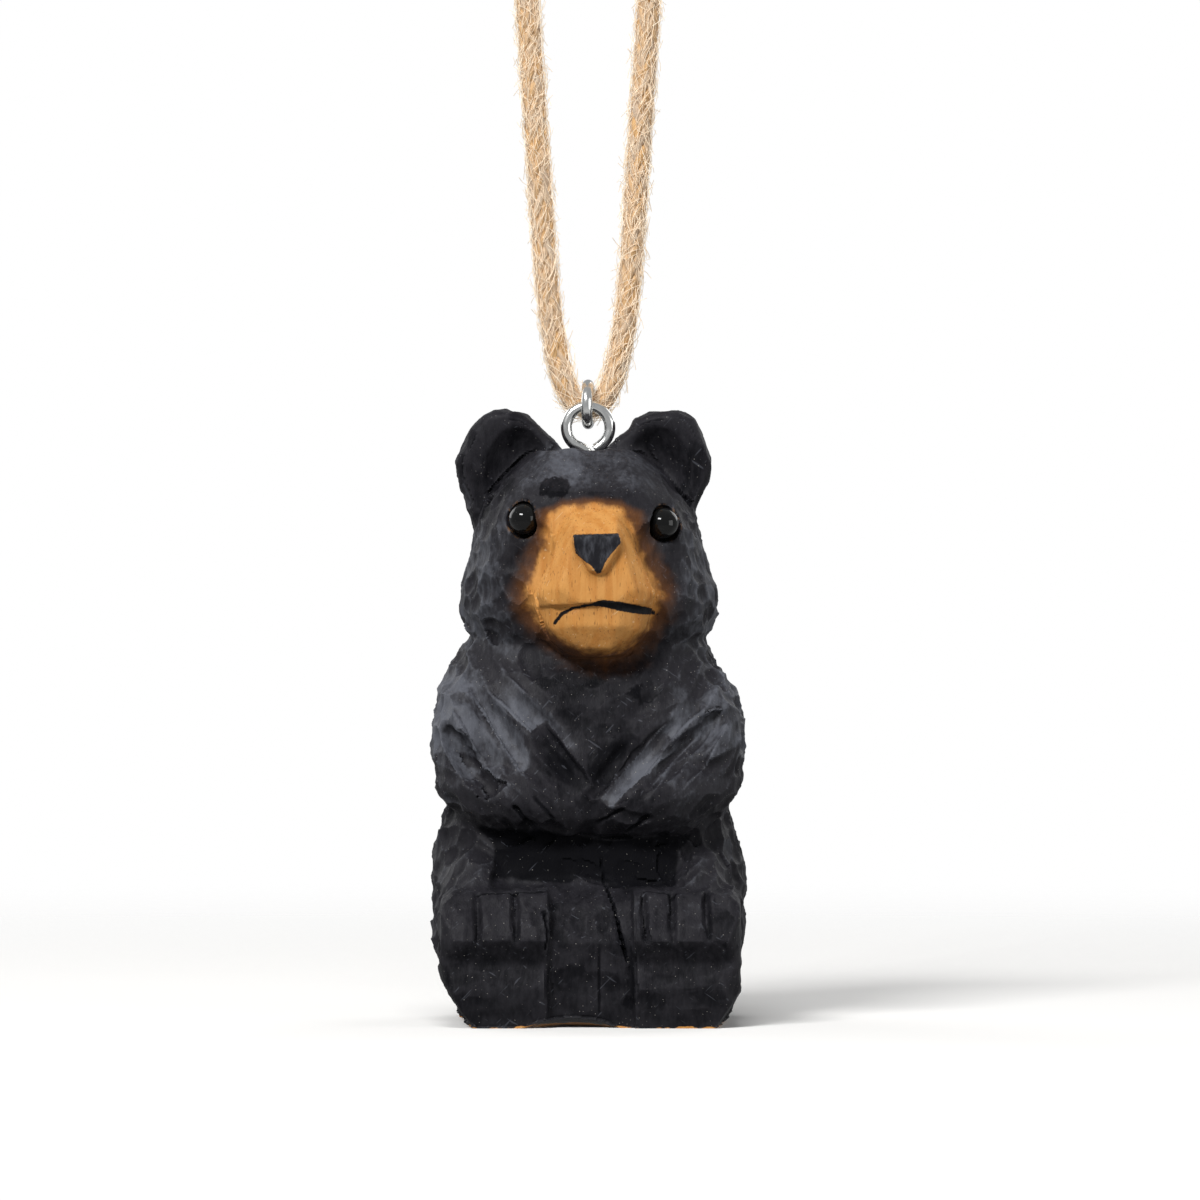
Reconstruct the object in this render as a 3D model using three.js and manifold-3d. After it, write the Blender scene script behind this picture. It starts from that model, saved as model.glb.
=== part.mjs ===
// A hand-carved, black-stained wooden bear ornament: one block of wood, two bead eyes, a screw eye and
// a jump ring in the crown, and a loop of jute cord. Millimetres, +Z up, the bear's face towards -Y, the
// origin under its base.

import * as THREE from "three";
import { ConvexGeometry } from "three/addons/geometries/ConvexGeometry.js";
import { mergeVertices } from "three/addons/utils/BufferGeometryUtils.js";
import Module from "manifold-3d";

const wasm = await Module();
wasm.setup();

// ---- Driving dimensions ----

const blank = { width: 36.4, depth: 35, height: 69.8 }; // the sawn stick that the bear is carved from
const legTop = 15.6; // height of the outstretched legs
const armpit = 22; // where the forearms overhang the lap
const chinHeight = 41.8;
const mouthHeight = 47.9;
const browHeight = 60.6;
const crownHeight = 65.5;
const faceTurn = THREE.MathUtils.degToRad(3.6); // the face looks a little to one side

const eyeBead = { diameter: 3.9, apart: 15.9, height: 57.15, gap: 0.12 };
const screwEye = { outer: 6.25, wire: 1.27, height: 67.75, shank: 7, gap: 0.3 };
const jumpRing = { outer: 5.7, wire: 1.3, height: 70.4, back: 0.8 };
const cord = { diameter: 2.67, back: 1.7, nip: 0.06 };
const knot = { height: 146, across: 8.4, tall: 8.6, tail: 9 };

const colours = {
  stainedWood: 0x2b2c30,
  blackGlass: 0x0a0a0c,
  platedSteel: 0xc9ccd0,
  jute: 0xc39a6b,
};

// ---- Solids ----

// A closed three.js geometry as a solid that can be joined and cut.
function solid(geometry) {
  const bare = geometry.index ? geometry.toNonIndexed() : geometry.clone();
  bare.deleteAttribute("normal");
  bare.deleteAttribute("uv");
  const merged = mergeVertices(bare, 1e-4);
  return new wasm.Manifold(
    new wasm.Mesh({
      numProp: 3,
      vertProperties: merged.getAttribute("position").array,
      triVerts: new Uint32Array(merged.index.array),
    }),
  );
}

// A solid back as a flat-shaded geometry.
function geometryOf(carved) {
  const mesh = carved.getMesh();
  const geometry = new THREE.BufferGeometry();
  geometry.setAttribute("position", new THREE.BufferAttribute(mesh.vertProperties, 3));
  geometry.setIndex(new THREE.BufferAttribute(mesh.triVerts, 1));
  const flat = geometry.toNonIndexed();
  flat.computeVertexNormals();
  return flat;
}

const joined = (pieces) => pieces.reduce((whole, piece) => whole.add(piece));
const cutBy = (whole, cutters) => cutters.reduce((left, cutter) => left.subtract(cutter), whole);

// A number from -1 to 1 that depends only on the two given, for the small unevenness of hand work.
function uneven(a, b) {
  const wave = Math.sin(a * 127.1 + b * 311.7) * 43758.5453;
  return 2 * (wave - Math.floor(wave)) - 1;
}

// A smooth curve through stations, each a place and the reach there.
function through(stations) {
  const curve = new THREE.CubicInterpolant(
    stations.map(([place]) => place),
    stations.map(([, reach]) => reach),
    1,
  );
  return (place) => curve.evaluate(place)[0];
}

// A carved mass as a stack of level sections. Each section is a rounded square that reaches from the
// middle to its left, right, front and back, and is turned half a step past the one below, so that the
// skin is cut in facets.
function mass({ levels, left, right, front, back, square = 3, sides = 26, chop = 0.2 }) {
  const form = new THREE.CylinderGeometry(1, 1, 1, sides, levels.length - 1).rotateX(Math.PI / 2);
  const spot = form.getAttribute("position");
  for (let i = 0; i < spot.count; i++) {
    const level = Math.round((spot.getZ(i) + 0.5) * (levels.length - 1));
    const z = levels[level];
    const onSkin = Math.hypot(spot.getX(i), spot.getY(i)) > 0.5;
    const side = Math.round((Math.atan2(spot.getY(i), spot.getX(i)) / (2 * Math.PI)) * sides * 2 + sides) / 2;
    const angle = ((side - level / 2) / sides) * 2 * Math.PI + Math.PI;
    const [x, y] = [Math.cos(angle), Math.sin(angle)];
    const corner = (Math.abs(x) ** square + Math.abs(y) ** square) ** (-1 / square);
    const reach = onSkin ? corner + (chop * uneven(side % sides, z)) / 15 : 0;
    spot.setXYZ(i, reach * x * (x > 0 ? right(z) : left(z)), reach * y * (y > 0 ? back(z) : front(z)), z);
  }
  return solid(form);
}

// The flat-faced solid that wraps a set of corners.
const wrapped = (corners) => solid(new ConvexGeometry(corners.map((c) => new THREE.Vector3(...c))));

// Both sides of a set of corners: each is given once, at its distance from the middle.
const bothSides = (corners) => corners.flatMap(([x, y, z]) => [[x, y, z], [-x, y, z]]);

// A ball in flat facets with its own reach along X, Y and Z, turned and set at a place.
function ball(place, reach, { turn = [0, 0, 0], detail = 3 } = {}) {
  const frame = new THREE.Matrix4().compose(
    new THREE.Vector3(...place),
    new THREE.Quaternion().setFromEuler(new THREE.Euler(...turn)),
    new THREE.Vector3(...reach),
  );
  return solid(new THREE.IcosahedronGeometry(1, detail).applyMatrix4(frame));
}

// Everything on the far side of a flat knife cut: a slab whose near face passes through a point.
function beyond(point, normal, size = 60) {
  const direction = new THREE.Vector3(...normal).normalize();
  const slab = new THREE.BoxGeometry(size, size, size).translate(0, 0, size / 2);
  slab.applyQuaternion(new THREE.Quaternion().setFromUnitVectors(new THREE.Vector3(0, 0, 1), direction));
  return solid(slab.translate(...point));
}

// A box between its lowest and highest corners.
function block(low, high) {
  const size = high.map((edge, i) => edge - low[i]);
  return solid(new THREE.BoxGeometry(...size).translate(...low.map((edge, i) => edge + size[i] / 2)));
}

// A shallow gouge cut between two points of a surface, deepest in the middle and running out at both ends.
function gouge(from, to, outward, width, depth) {
  const start = new THREE.Vector3(...from);
  const run = new THREE.Vector3(...to).sub(start);
  const normal = new THREE.Vector3(...outward).normalize();
  const share = 1 / Math.sqrt(1 - (2 / 3) ** 2); // a ball sunk by a third of its reach shows this share of it
  const along = run.clone().normalize();
  const up = normal.clone().addScaledVector(along, -normal.dot(along)).normalize();
  const across = new THREE.Vector3().crossVectors(up, along);
  const place = start.addScaledVector(run, 0.5).addScaledVector(up, 2 * depth);
  const form = new THREE.SphereGeometry(1, 10, 6);
  form.scale((run.length() / 2) * share, (width / 2) * share, 3 * depth);
  return solid(form.applyMatrix4(new THREE.Matrix4().makeBasis(along, across, up).setPosition(place)));
}

// A thin, deep knife line between two points of a surface: a wedge that is widest at the surface.
function knifeLine(from, to, inward, width, depth) {
  const start = new THREE.Vector3(...from);
  const end = new THREE.Vector3(...to);
  const into = new THREE.Vector3(...inward).normalize();
  const across = new THREE.Vector3().subVectors(end, start).cross(into).normalize();
  const corners = [start, end].flatMap((p) => [
    p.clone().addScaledVector(into, depth),
    p.clone().addScaledVector(into, -1.5).addScaledVector(across, width),
    p.clone().addScaledVector(into, -1.5).addScaledVector(across, -width),
  ]);
  return solid(new ConvexGeometry(corners));
}

// A round bar along a route.
function bar(route, radius, sides, steps) {
  const section = new THREE.Shape().absarc(0, 0, radius, 0, 2 * Math.PI, false);
  return new THREE.ExtrudeGeometry(section, {
    steps,
    curveSegments: sides / 2,
    bevelEnabled: false,
    extrudePath: route,
  });
}

// An outline drawn from the front, its points given as X and Z, and cut through from one depth to another.
function cutOut(shape, front, back, bevel) {
  const form = new THREE.ExtrudeGeometry(shape, {
    depth: back - front - 2 * bevel,
    curveSegments: 3,
    bevelEnabled: true,
    bevelSegments: 1,
    bevelSize: bevel,
    bevelOffset: -bevel,
    bevelThickness: bevel,
  });
  return form.rotateX(Math.PI / 2).translate(0, back - bevel, 0);
}

// ---- The bear's masses ----

const hips = {
  levels: [0, 2.4, 5, 8, 11, 13.5, 16.5, 19.5, 22.5, 25.5, 28],
  left: through([
    [0, 14], [2.5, 15.8], [5, 16.6], [10.5, 16.9],
    [13, 17.8], [16, 18], [21, 17.6], [28, 15],
  ]),
  right: through([
    [0, 15.5], [4, 16.9], [8, 17.3], [13, 17.8],
    [16.7, 18.1], [20, 17.6], [22, 16.8], [28, 15.6],
  ]),
  front: through([[0, 10], [14, 10], [20, 9.2], [28, 9]]),
  back: through([[0, 14.4], [5, 16.4], [11, 16.8], [19, 16.2], [28, 15]]),
};

const chest = {
  levels: [21.6, 23.4, 25.4, 27.6, 30, 32.4, 34.8, 37, 39.2, 41.4, 43.6, 46],
  left: through([
    [21, 14.2], [25, 16.4], [28, 17.6], [31.5, 18.1],
    [35, 17.7], [39, 16.9], [41, 15.8], [46, 12],
  ]),
  right: through([
    [21, 14.2], [25, 16.4], [27, 17.6], [30, 18],
    [34.5, 17.6], [37.4, 16.6], [40.3, 15.2], [46, 12],
  ]),
  front: through([[21, 9.4], [22.4, 12], [25, 13], [29, 12.8], [33, 12.2], [38, 11], [42, 9], [46, 8]]),
  back: through([[21, 14.6], [25, 15.2], [30, 15], [34, 14.2], [38, 12.8], [42, 11], [46, 10]]),
};

const head = {
  levels: [40.6, 42.6, 44.6, 46.8, 49, 51.4, 53.8, 56, 58, 60, 62, 64, crownHeight],
  left: through([
    [40.6, 9], [43, 12.6], [45.5, 14.3], [48, 14.7],
    [53.7, 13.3], [58, 12.4], [62, 9.8], [65.5, 5.8],
  ]),
  right: through([
    [40.6, 9], [43, 12.9], [46.7, 14.9], [49, 14.7],
    [53.7, 13.1], [58, 12.1], [62, 9.1], [65.5, 5.6],
  ]),
  front: through([[40.6, 7], [45, 10.4], [50, 12], [60, 12.4], [63, 10], [65.5, 6.6]]),
  back: through([[40.6, 9], [47, 12], [54, 12.8], [60, 11.4], [65.5, 6]]),
};

// Where the front of a mass lies at a distance from the middle and a height.
function skin(of, x, z) {
  const share = Math.min(0.98, Math.abs(x) / (x > 0 ? of.right(z) : of.left(z)));
  return -of.front(z) * (1 - share ** 3) ** (1 / 3);
}

// The direction that the front of a mass faces there.
function facing(of, x, z) {
  const step = 0.5;
  const acrossSlope = (skin(of, x + step, z) - skin(of, x - step, z)) / (2 * step);
  const upSlope = (skin(of, x, z + step) - skin(of, x, z - step)) / (2 * step);
  return [acrossSlope, -1, upSlope];
}

// ---- The bear's carving ----

// Thigh and outstretched leg on one side (-1 left, 1 right), and the foot that stands at its end.
function leg(side, { inner, outer, sole }) {
  const front = blank.depth / 2;
  const thigh = ball([side * 12.7, -1.5, 12], [5.4, 13, 9.9], { turn: [0.16, 0, 0] });
  const profile = [
    [-8, 0], [front - 1, 0], [front - 0.4, 4.4], [front - 1.3, 7.4], [front, 9.9], [front - 0.5, 11.6],
    [front - 2.8, legTop - 0.5], [front - 4.6, legTop], [1, legTop + 1], [-8, legTop - 3],
  ];
  const shape = new THREE.Shape(profile.map(([out, z]) => new THREE.Vector2(out, z)));
  const foot = new THREE.ExtrudeGeometry(shape, { depth: outer - inner, bevelEnabled: false, steps: 1 });
  // The profile is drawn from the side, its first axis towards the front, and swept along -X.
  const frame = new THREE.Matrix4().makeBasis(
    new THREE.Vector3(0, -1, 0),
    new THREE.Vector3(0, 0, 1),
    new THREE.Vector3(-1, 0, 0),
  );
  foot.applyMatrix4(frame).translate(side > 0 ? outer : -inner, 0, 0);
  const cuts = [
    // The outer front edge, cut off upright.
    beyond([side * (outer - 1.7), -front, 6], [side * 1.3, -1, -0.12]),
    beyond([side * (outer - 1.4), -front + 5, legTop], [side, -0.25, 1.3]), // the little toe's top
    beyond([side * sole, 0, 0], [side * 1.6, -0.1, -1]), // the outer edge of the sole
    beyond([side * outer, -6, 6], [side, 0.16, 0]), // the outer side, running in to the hip
  ];
  return cutBy(solid(foot), cuts).add(thigh);
}

// Upper arm down the side and forearm across the belly to a paw by the middle.
function arm(side) {
  const upper = ball([side * 13.3, -2.4, 31.5], [4.8, 9.4, 9.6], { turn: [0.1, side * 0.06, side * 0.1] });
  const fore = ball([side * 8.6, -8, 26.2], [9.6, 5.9, 4.6], { turn: [0, side * -0.2, side * 0.28] });
  return upper.add(fore);
}

const earOutlines = {
  left: [
    [2.8, 65.2], [4.6, 67], [7, 69.3], [10.2, 70], [11.9, 69.3], [13.6, 67.6], [15.3, 63.8], [14.8, 61.2],
    [13.9, 58.9], [13, 56], [7, 57], [3, 61],
  ],
  right: [
    [1.7, 65.2], [4.7, 67.7], [5.1, 68.7], [7.3, 69.6], [10.4, 69.7], [12.3, 68.8], [13.1, 67], [14.2, 63.8],
    [13.8, 61.6], [12.5, 59], [11.6, 57], [7, 57], [3, 61],
  ],
};

function ear(side, outline) {
  const shape = new THREE.Shape(outline.map(([out, z]) => new THREE.Vector2(side * out, z)));
  const form = solid(cutOut(shape, -2.6, 4.4, 0.7));
  const cuts = [
    ball([side * 8.9, -7.6, 62.6], [5.2, 7.4, 7.4], { turn: [-0.1, 0, side * 0.35] }), // the hollow
    beyond([side * 9, 3.6, 68], [0, 1, 0.75]), // the back of the tip
    beyond([side * 13.4, 3.4, 62], [side, 1, 0.1]), // the outer back edge
  ];
  return cutBy(form, cuts);
}

// The snout and jaw, drawn straight ahead.
function muzzle() {
  const snout = wrapped(bothSides([
    [2.5, -11.2, 59.6], [2.2, -15.9, 56.3], [3.6, -10.6, 59], [3.4, -14.2, 56.2],
    [4.2, -16.5, 49.6], [4.8, -15.8, 47.7], [1.6, -16.6, 47.9], [7.3, -13.4, 49.2], [7, -12.4, 47.4],
    [6.4, -7, 47.4], [6.4, -7, 58],
  ]));
  const jaw = wrapped(bothSides([
    [2.6, -15.6, 47.6], [5.2, -14.4, 47.6], [2.4, -15.7, 45.4], [5, -14.2, 45], [1.6, -14.4, 42.8],
    [3.8, -13, 43], [1.4, -12.4, chinHeight], [3.4, -11, chinHeight + 0.2], [7.2, -11, 47.6],
    [6.4, -9.6, 44.4],
    [3.4, -7, chinHeight - 0.2], [6.4, -6, 47.6],
  ]));
  return snout.add(jaw);
}

function nose() {
  const top = 55.8;
  const tip = 51.2;
  const shape = new THREE.Shape();
  shape.moveTo(-2.3, top);
  shape.quadraticCurveTo(-3.1, top - 0.3, -2.7, top - 1.4);
  shape.lineTo(-0.9, tip + 0.3);
  shape.quadraticCurveTo(0, tip - 0.2, 0.9, tip + 0.3);
  shape.lineTo(2.7, top - 1.4);
  shape.quadraticCurveTo(3.1, top - 0.3, 2.3, top);
  return solid(cutOut(shape, -17.3, -14.5, 0.35));
}

// The mouth: a drooping groove across the lip.
function mouth() {
  const route = new THREE.CatmullRomCurve3([
    new THREE.Vector3(-5.6, -14.4, 45.2),
    new THREE.Vector3(-3.4, -15.6, mouthHeight - 0.9),
    new THREE.Vector3(0, -16, mouthHeight),
    new THREE.Vector3(3.6, -15.6, mouthHeight - 0.5),
    new THREE.Vector3(6.4, -13.6, mouthHeight - 1.2),
  ]);
  return solid(bar(route, 0.5, 6, 14));
}

// A solid turned with the face about the middle of the head.
const withFace = (piece) => piece.rotate([0, 0, THREE.MathUtils.radToDeg(faceTurn)]);

// Where an eye sits: the middle of its bead, turned with the face.
function eyePlace(side) {
  const place = new THREE.Vector3(side * (eyeBead.apart / 2), -10.3, eyeBead.height - side * 0.25);
  return place.applyAxisAngle(new THREE.Vector3(0, 0, 1), faceTurn);
}

function carveHead() {
  const forehead = beyond([0, -11.7, browHeight], [0, -4.9, 5.4]);
  const crown = beyond([0, -6.6, crownHeight], [0, 1.6, 10]);
  const temples = [-1, 1].map((side) => beyond([side * 5.7, -7.6, crownHeight], [side * 7.6, -3, 7]));
  return cutBy(mass({ ...head, square: 2.8 }), [forehead, crown, ...temples]);
}

// The hollows between snout and cheeks, below the eyes.
function eyeHollows() {
  return [-1, 1].map((side) => withFace(gouge(
    [side * 6.2, -11.4, 56.2],
    [side * 9.4, -10.6, 46.6],
    [side * 0.5, -1, 0],
    5.4,
    0.5,
  )));
}

// The lines that part the arm and the thigh from the back.
function sideLines() {
  return [-1, 1].flatMap((side) => [
    gouge([side * 15.6, 7.4, 40], [side * 17.6, 5.2, 24.4], [side, 0.3, 0], 3, 1.1),
    gouge([side * 17, 9, 20.5], [side * 17.2, 12, 6.5], [side, 0.4, 0], 3, 0.9),
  ]);
}

// Long flat strokes that fan from the middle of the chest to the shoulders.
function chestStrokes() {
  const strokes = [
    [[-1.4, 29.8], [-9.2, 39], 2.6, 0.9],
    [[-6.2, 28.8], [-12.2, 38], 2.6, 0.9],
    [[-0.6, 26], [-6.8, 34], 2, 1.2],
    [[-11, 26.5], [-15.4, 33], 2.6, 0.9],
    [[1.4, 25.6], [11.4, 35.8], 2.2, 1.1],
    [[0.2, 26], [5.4, 33.4], 2, 1.2],
    [[7, 27.6], [14.6, 35], 2.8, 0.9],
    [[2, 32], [9, 39], 2.8, 0.9],
  ];
  return strokes.map(([from, to, width, depth]) => {
    const [start, end] = [from, to].map(([x, z]) => [x, skin(chest, x, z) - 0.4, z]);
    return gouge(start, end, facing(chest, (from[0] + to[0]) / 2, (from[1] + to[1]) / 2), width, depth);
  });
}

// Short cuts that part the claws of the folded paws.
function pawCuts() {
  const cuts = [
    [[1.1, 22.8], [4.4, 24.6]],
    [[4, 21.9], [7.2, 23.8]],
    [[-6.4, 22.8], [-8.6, 25]],
    [[-3.2, 22.2], [-4.6, 24]],
  ];
  return cuts.map(([from, to]) => {
    const [start, end] = [from, to].map(([x, z]) => [x, skin(chest, x, z) - 1, z]);
    return knifeLine(start, end, [0, 1, 0.2], 0.6, 1.1);
  });
}

function toeCuts(front) {
  const places = [-12.4, -8.1, 6.4, 9.6, 13.5];
  const into = [0, 1, -0.8];
  return places.map((x) =>
    knifeLine([x, -front, 9.4], [x - 0.2, -front + 4.2, legTop + 0.6], into, 0.7, 0.9));
}

function carveBear() {
  const front = blank.depth / 2;
  const lap = block([-10.8, -front - 1, 16.4], [9.8, -9.3, armpit - 0.4]);
  const between = wrapped([-4.4, 5.4].flatMap((x) => [
    [x, -5, 0], [x, -front + 2, 0], [x, -front + 1.8, 9.6], [x, -front + 4.4, 14], [x, -9, 16.6],
    [x, -5, 16.6],
  ]));
  const masses = [
    mass(hips), mass(chest), carveHead(), ear(-1, earOutlines.left), ear(1, earOutlines.right),
    arm(-1), arm(1),
    leg(-1, { inner: 4.4, outer: 16.7, sole: 14.1 }), leg(1, { inner: 5, outer: 17.3, sole: 15.6 }),
    between, withFace(muzzle()), withFace(nose()), ball([0, 15.4, 7.6], [3, 2.2, 3.4]),
  ];
  const sockets = [-1, 1].map((side) => {
    const radius = eyeBead.diameter / 2 + eyeBead.gap;
    return ball(eyePlace(side).toArray(), [radius, radius, radius]);
  });
  const boreRadius = screwEye.wire / 2 + screwEye.gap;
  const bore = new THREE.CylinderGeometry(boreRadius, boreRadius, screwEye.shank + 1, 12);
  bore.rotateX(Math.PI / 2);
  bore.translate(0, 0, screwEye.height - screwEye.outer / 2 - screwEye.shank / 2 + 0.9);
  const archRadius = 13.4;
  const arch = new THREE.CylinderGeometry(archRadius, archRadius, 20, 48).rotateX(-0.13);
  // It rises 1.3 at the front edge and runs out below the belly.
  arch.translate(-1.7, -front, 1.3 - archRadius);
  const split = [
    knifeLine([1.6, -12, 18], [3.2, -14.6, 12.4], [0, 1, -0.2], 0.5, 2),
    knifeLine([3.2, -14.6, 12.6], [4.6, -front + 1, 6.8], [0, 1, 0], 0.5, 2.4),
    knifeLine([4.6, -front + 1, 7], [5, -front + 0.6, -0.5], [0, 1, 0], 0.6, 2.6),
  ];
  const cuts = [
    lap, ...sockets, solid(bore), solid(arch), withFace(mouth()), ...eyeHollows(), ...sideLines(),
    ...chestStrokes(), ...pawCuts(), ...toeCuts(front), ...split,
  ];
  const stick = block([-blank.width / 2, -front, 0], [blank.width / 2, front, blank.height]);
  return cutBy(joined(masses), cuts).intersect(stick);
}

// ---- Metal, glass and cord ----

function ring(outer, wire, segments = 24, sides = 10) {
  return new THREE.TorusGeometry((outer - wire) / 2, wire / 2, sides, segments);
}

function makeScrewEye() {
  const eye = ring(screwEye.outer, screwEye.wire).rotateX(Math.PI / 2).translate(0, 0, screwEye.height);
  const shank = new THREE.CylinderGeometry(screwEye.wire / 2, screwEye.wire / 4, screwEye.shank, 10);
  shank.rotateX(Math.PI / 2).translate(0, 0, screwEye.height - screwEye.outer / 2 - screwEye.shank / 2 + 0.5);
  return solid(eye).add(solid(shank));
}

function makeJumpRing(wire = jumpRing.wire) {
  const round = ring(jumpRing.outer - jumpRing.wire + wire, wire).rotateY(Math.PI / 2);
  return solid(round.translate(0, jumpRing.back, jumpRing.height));
}

// Down from the knot, through the jump ring in a tight fold, and up again.
function cordRoute() {
  const halfLoop = [
    [0, 69.9], [1, 70.15], [1.8, 71], [2.6, 72.6], [3.3, 74.9], [4, 78.4], [4.7, 84], [5.3, 92],
    [5.9, 101], [6.6, 111], [7, 119], [6.8, 126], [5.6, 133], [3.4, 139], [1.9, knot.height - knot.tall / 2],
  ];
  const rightLeg = halfLoop.map(([x, z]) => new THREE.Vector3(x, cord.back, z));
  const leftLeg = rightLeg.slice(1).map((p) => new THREE.Vector3(-p.x, p.y, p.z)).reverse();
  return new THREE.CatmullRomCurve3([...leftLeg, ...rightLeg], false, "centripetal");
}

function makeCord() {
  const tube = solid(bar(cordRoute(), cord.diameter / 2, 8, 64));
  return cutBy(tube, [makeJumpRing(jumpRing.wire + 2 * cord.nip), makeScrewEye()]);
}

function makeKnot() {
  const [across, tall] = [knot.across / 2, knot.tall / 2];
  const half = [[0, -tall], [across * 0.6, -tall], [across, -tall / 3]];
  const profile = [...half, ...half.map(([r, z]) => [r, -z]).reverse()];
  const outline = profile.map(([r, z]) => new THREE.Vector2(r, z));
  const body = new THREE.LatheGeometry(outline, 14).rotateX(Math.PI / 2);
  const tails = [-1, 1].map((side) => {
    const tail = new THREE.CylinderGeometry(cord.diameter / 2, cord.diameter / 2, knot.tail + 2, 8);
    tail.rotateX(Math.PI / 2).translate(side * 1.5, 0, tall + knot.tail / 2 - 1);
    return solid(tail);
  });
  return joined([solid(body), ...tails]).translate([0, cord.back, knot.height + 0.3]);
}

// ---- The scene ----

const material = (color, roughness, metalness = 0) =>
  new THREE.MeshStandardMaterial({ color, roughness, metalness, flatShading: true });

const wood = material(colours.stainedWood, 0.75);
const glass = material(colours.blackGlass, 0.08);
const steel = material(colours.platedSteel, 0.25, 1);
const jute = material(colours.jute, 0.95);

const ornament = new THREE.Group();
ornament.name = "carved_bear_ornament";

function place(name, shape, finish) {
  const mesh = new THREE.Mesh(shape, finish);
  mesh.name = name;
  ornament.add(mesh);
  return mesh;
}

place("bear", geometryOf(carveBear()), wood);
for (const [name, side] of [["eye_left", -1], ["eye_right", 1]]) {
  const bead = new THREE.IcosahedronGeometry(eyeBead.diameter / 2, 3);
  place(name, bead, glass).position.copy(eyePlace(side));
}
place("screw_eye", geometryOf(makeScrewEye()), steel);
place("jump_ring", geometryOf(makeJumpRing()), steel);
place("hanging_cord", geometryOf(makeCord()), jute);
place("cord_knot", geometryOf(makeKnot()), jute);

export default ornament;
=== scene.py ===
"""A hand-carved wooden bear ornament, stained and painted, with bead eyes, plated rings and a jute loop."""

import math

import bmesh
import bpy
import numpy as np
from bpy.props import FloatProperty, FloatVectorProperty, IntProperty, PointerProperty
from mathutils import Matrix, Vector
from mathutils.bvhtree import BVHTree
from mathutils.kdtree import KDTree


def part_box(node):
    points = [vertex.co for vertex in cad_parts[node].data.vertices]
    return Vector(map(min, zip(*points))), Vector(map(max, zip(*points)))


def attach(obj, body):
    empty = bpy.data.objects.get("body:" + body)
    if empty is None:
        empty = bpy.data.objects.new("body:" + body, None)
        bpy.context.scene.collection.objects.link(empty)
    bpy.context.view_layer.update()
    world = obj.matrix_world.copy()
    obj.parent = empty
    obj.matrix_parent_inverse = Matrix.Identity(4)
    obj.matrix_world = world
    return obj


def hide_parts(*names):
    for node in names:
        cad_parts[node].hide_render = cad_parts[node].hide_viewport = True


bl_info = {
    "name": "Carved bear ornament",
    "version": (1, 0, 0),
    "blender": (4, 5, 0),
    "location": "3D View > Sidebar > Bear",
    "description": "Carves, paints and strings a small hanging wooden bear",
    "category": "Add Mesh",
}

MM = 0.001
METRE = 1 / MM
TURN = 2 * math.pi
SEED = 7
SPACING = 0.68  # how far one cut keeps the next from starting, as a share of its own size
SAME_SIDE = 0.35  # how nearly a place faces the way of a cut that takes it in
KNIFE_REACH = 3.5  # how far above and below its own plane a placed cut takes in the skin
STEEP_FROM = 0.75  # where across a chip its steep side begins
SHARP_ANGLE = math.radians(24)  # edges between cuts that are steeper than this stay crisp
DUST = (0.36, 0.34, 0.31)
SLIVERS = (0.86, 0.66, 0.4)
EYES = ("eye_left", "eye_right")

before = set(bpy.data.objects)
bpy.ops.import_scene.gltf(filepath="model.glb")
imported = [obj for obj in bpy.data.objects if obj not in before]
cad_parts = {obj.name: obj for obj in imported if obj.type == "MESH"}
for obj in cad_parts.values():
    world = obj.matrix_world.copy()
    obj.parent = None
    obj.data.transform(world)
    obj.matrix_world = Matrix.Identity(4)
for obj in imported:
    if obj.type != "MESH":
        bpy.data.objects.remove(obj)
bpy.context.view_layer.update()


# ---- Places on the bear, in millimetres: +Z up, the face towards -Y ----

FACE_FRONT = -8.0  # whatever lies further back than this has none of the face's paint
NOWHERE = 9.0  # the distance to a painted edge that is given to whatever has none
SNOUT_FRONT = -11.4
SNOUT_BOX = {0: (0.8, 8.4), 2: (51, 9.6)}  # its middle and half its size, across and upright
# Beside the bridge the haze reaches in further, partly as painted shade on the flanks.
HAZY_CORNERS = [((-4.4, 57.4), 1.3, 2.6), ((5.8, 57.2), 0.8, 2.2)]  # place, strength and spread

# The light, unstained muzzle, as seen from the front.
MUZZLE_EDGE = [
    (-2.4, 58.8), (0.6, 59.0), (3.2, 58.8), (3.8, 57.6), (4.6, 55.9), (6.5, 52.4), (8.1, 48.7),
    (7.6, 46.9), (6.5, 45.0), (4.7, 43.3), (2.2, 42.5), (-0.6, 43.0), (-3.4, 44.2), (-5.5, 45.9),
    (-6.8, 47.5), (-6.9, 48.6), (-5.7, 52.4), (-4.1, 56.0), (-2.8, 58.2),
]
NOSE_EDGE = [
    (-1.7, 55.7), (3.45, 55.85), (3.75, 54.8), (2.7, 53.6), (1.9, 52.5), (1.5, 51.4), (1.0, 51.3),
    (0.4, 52.2), (-0.5, 52.8), (-1.4, 53.6),
]
MOUTH_LINE = [  # x, z, half thickness of the black line
    (-3.75, 45.7, 0.2), (-3.0, 46.7, 0.22), (-1.7, 47.4, 0.15), (0.3, 47.8, 0.17), (1.75, 47.95, 0.4),
    (3.6, 47.6, 0.52), (5.2, 47.3, 0.5), (6.9, 47.0, 0.4), (7.8, 46.6, 0.1),
]
BROW_DAB = [
    (-5.6, 60.2), (-5.2, 61.7), (-4.0, 62.2), (-2.5, 62.0), (-2.0, 60.9), (-2.7, 59.9), (-4.0, 59.8),
]
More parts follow.
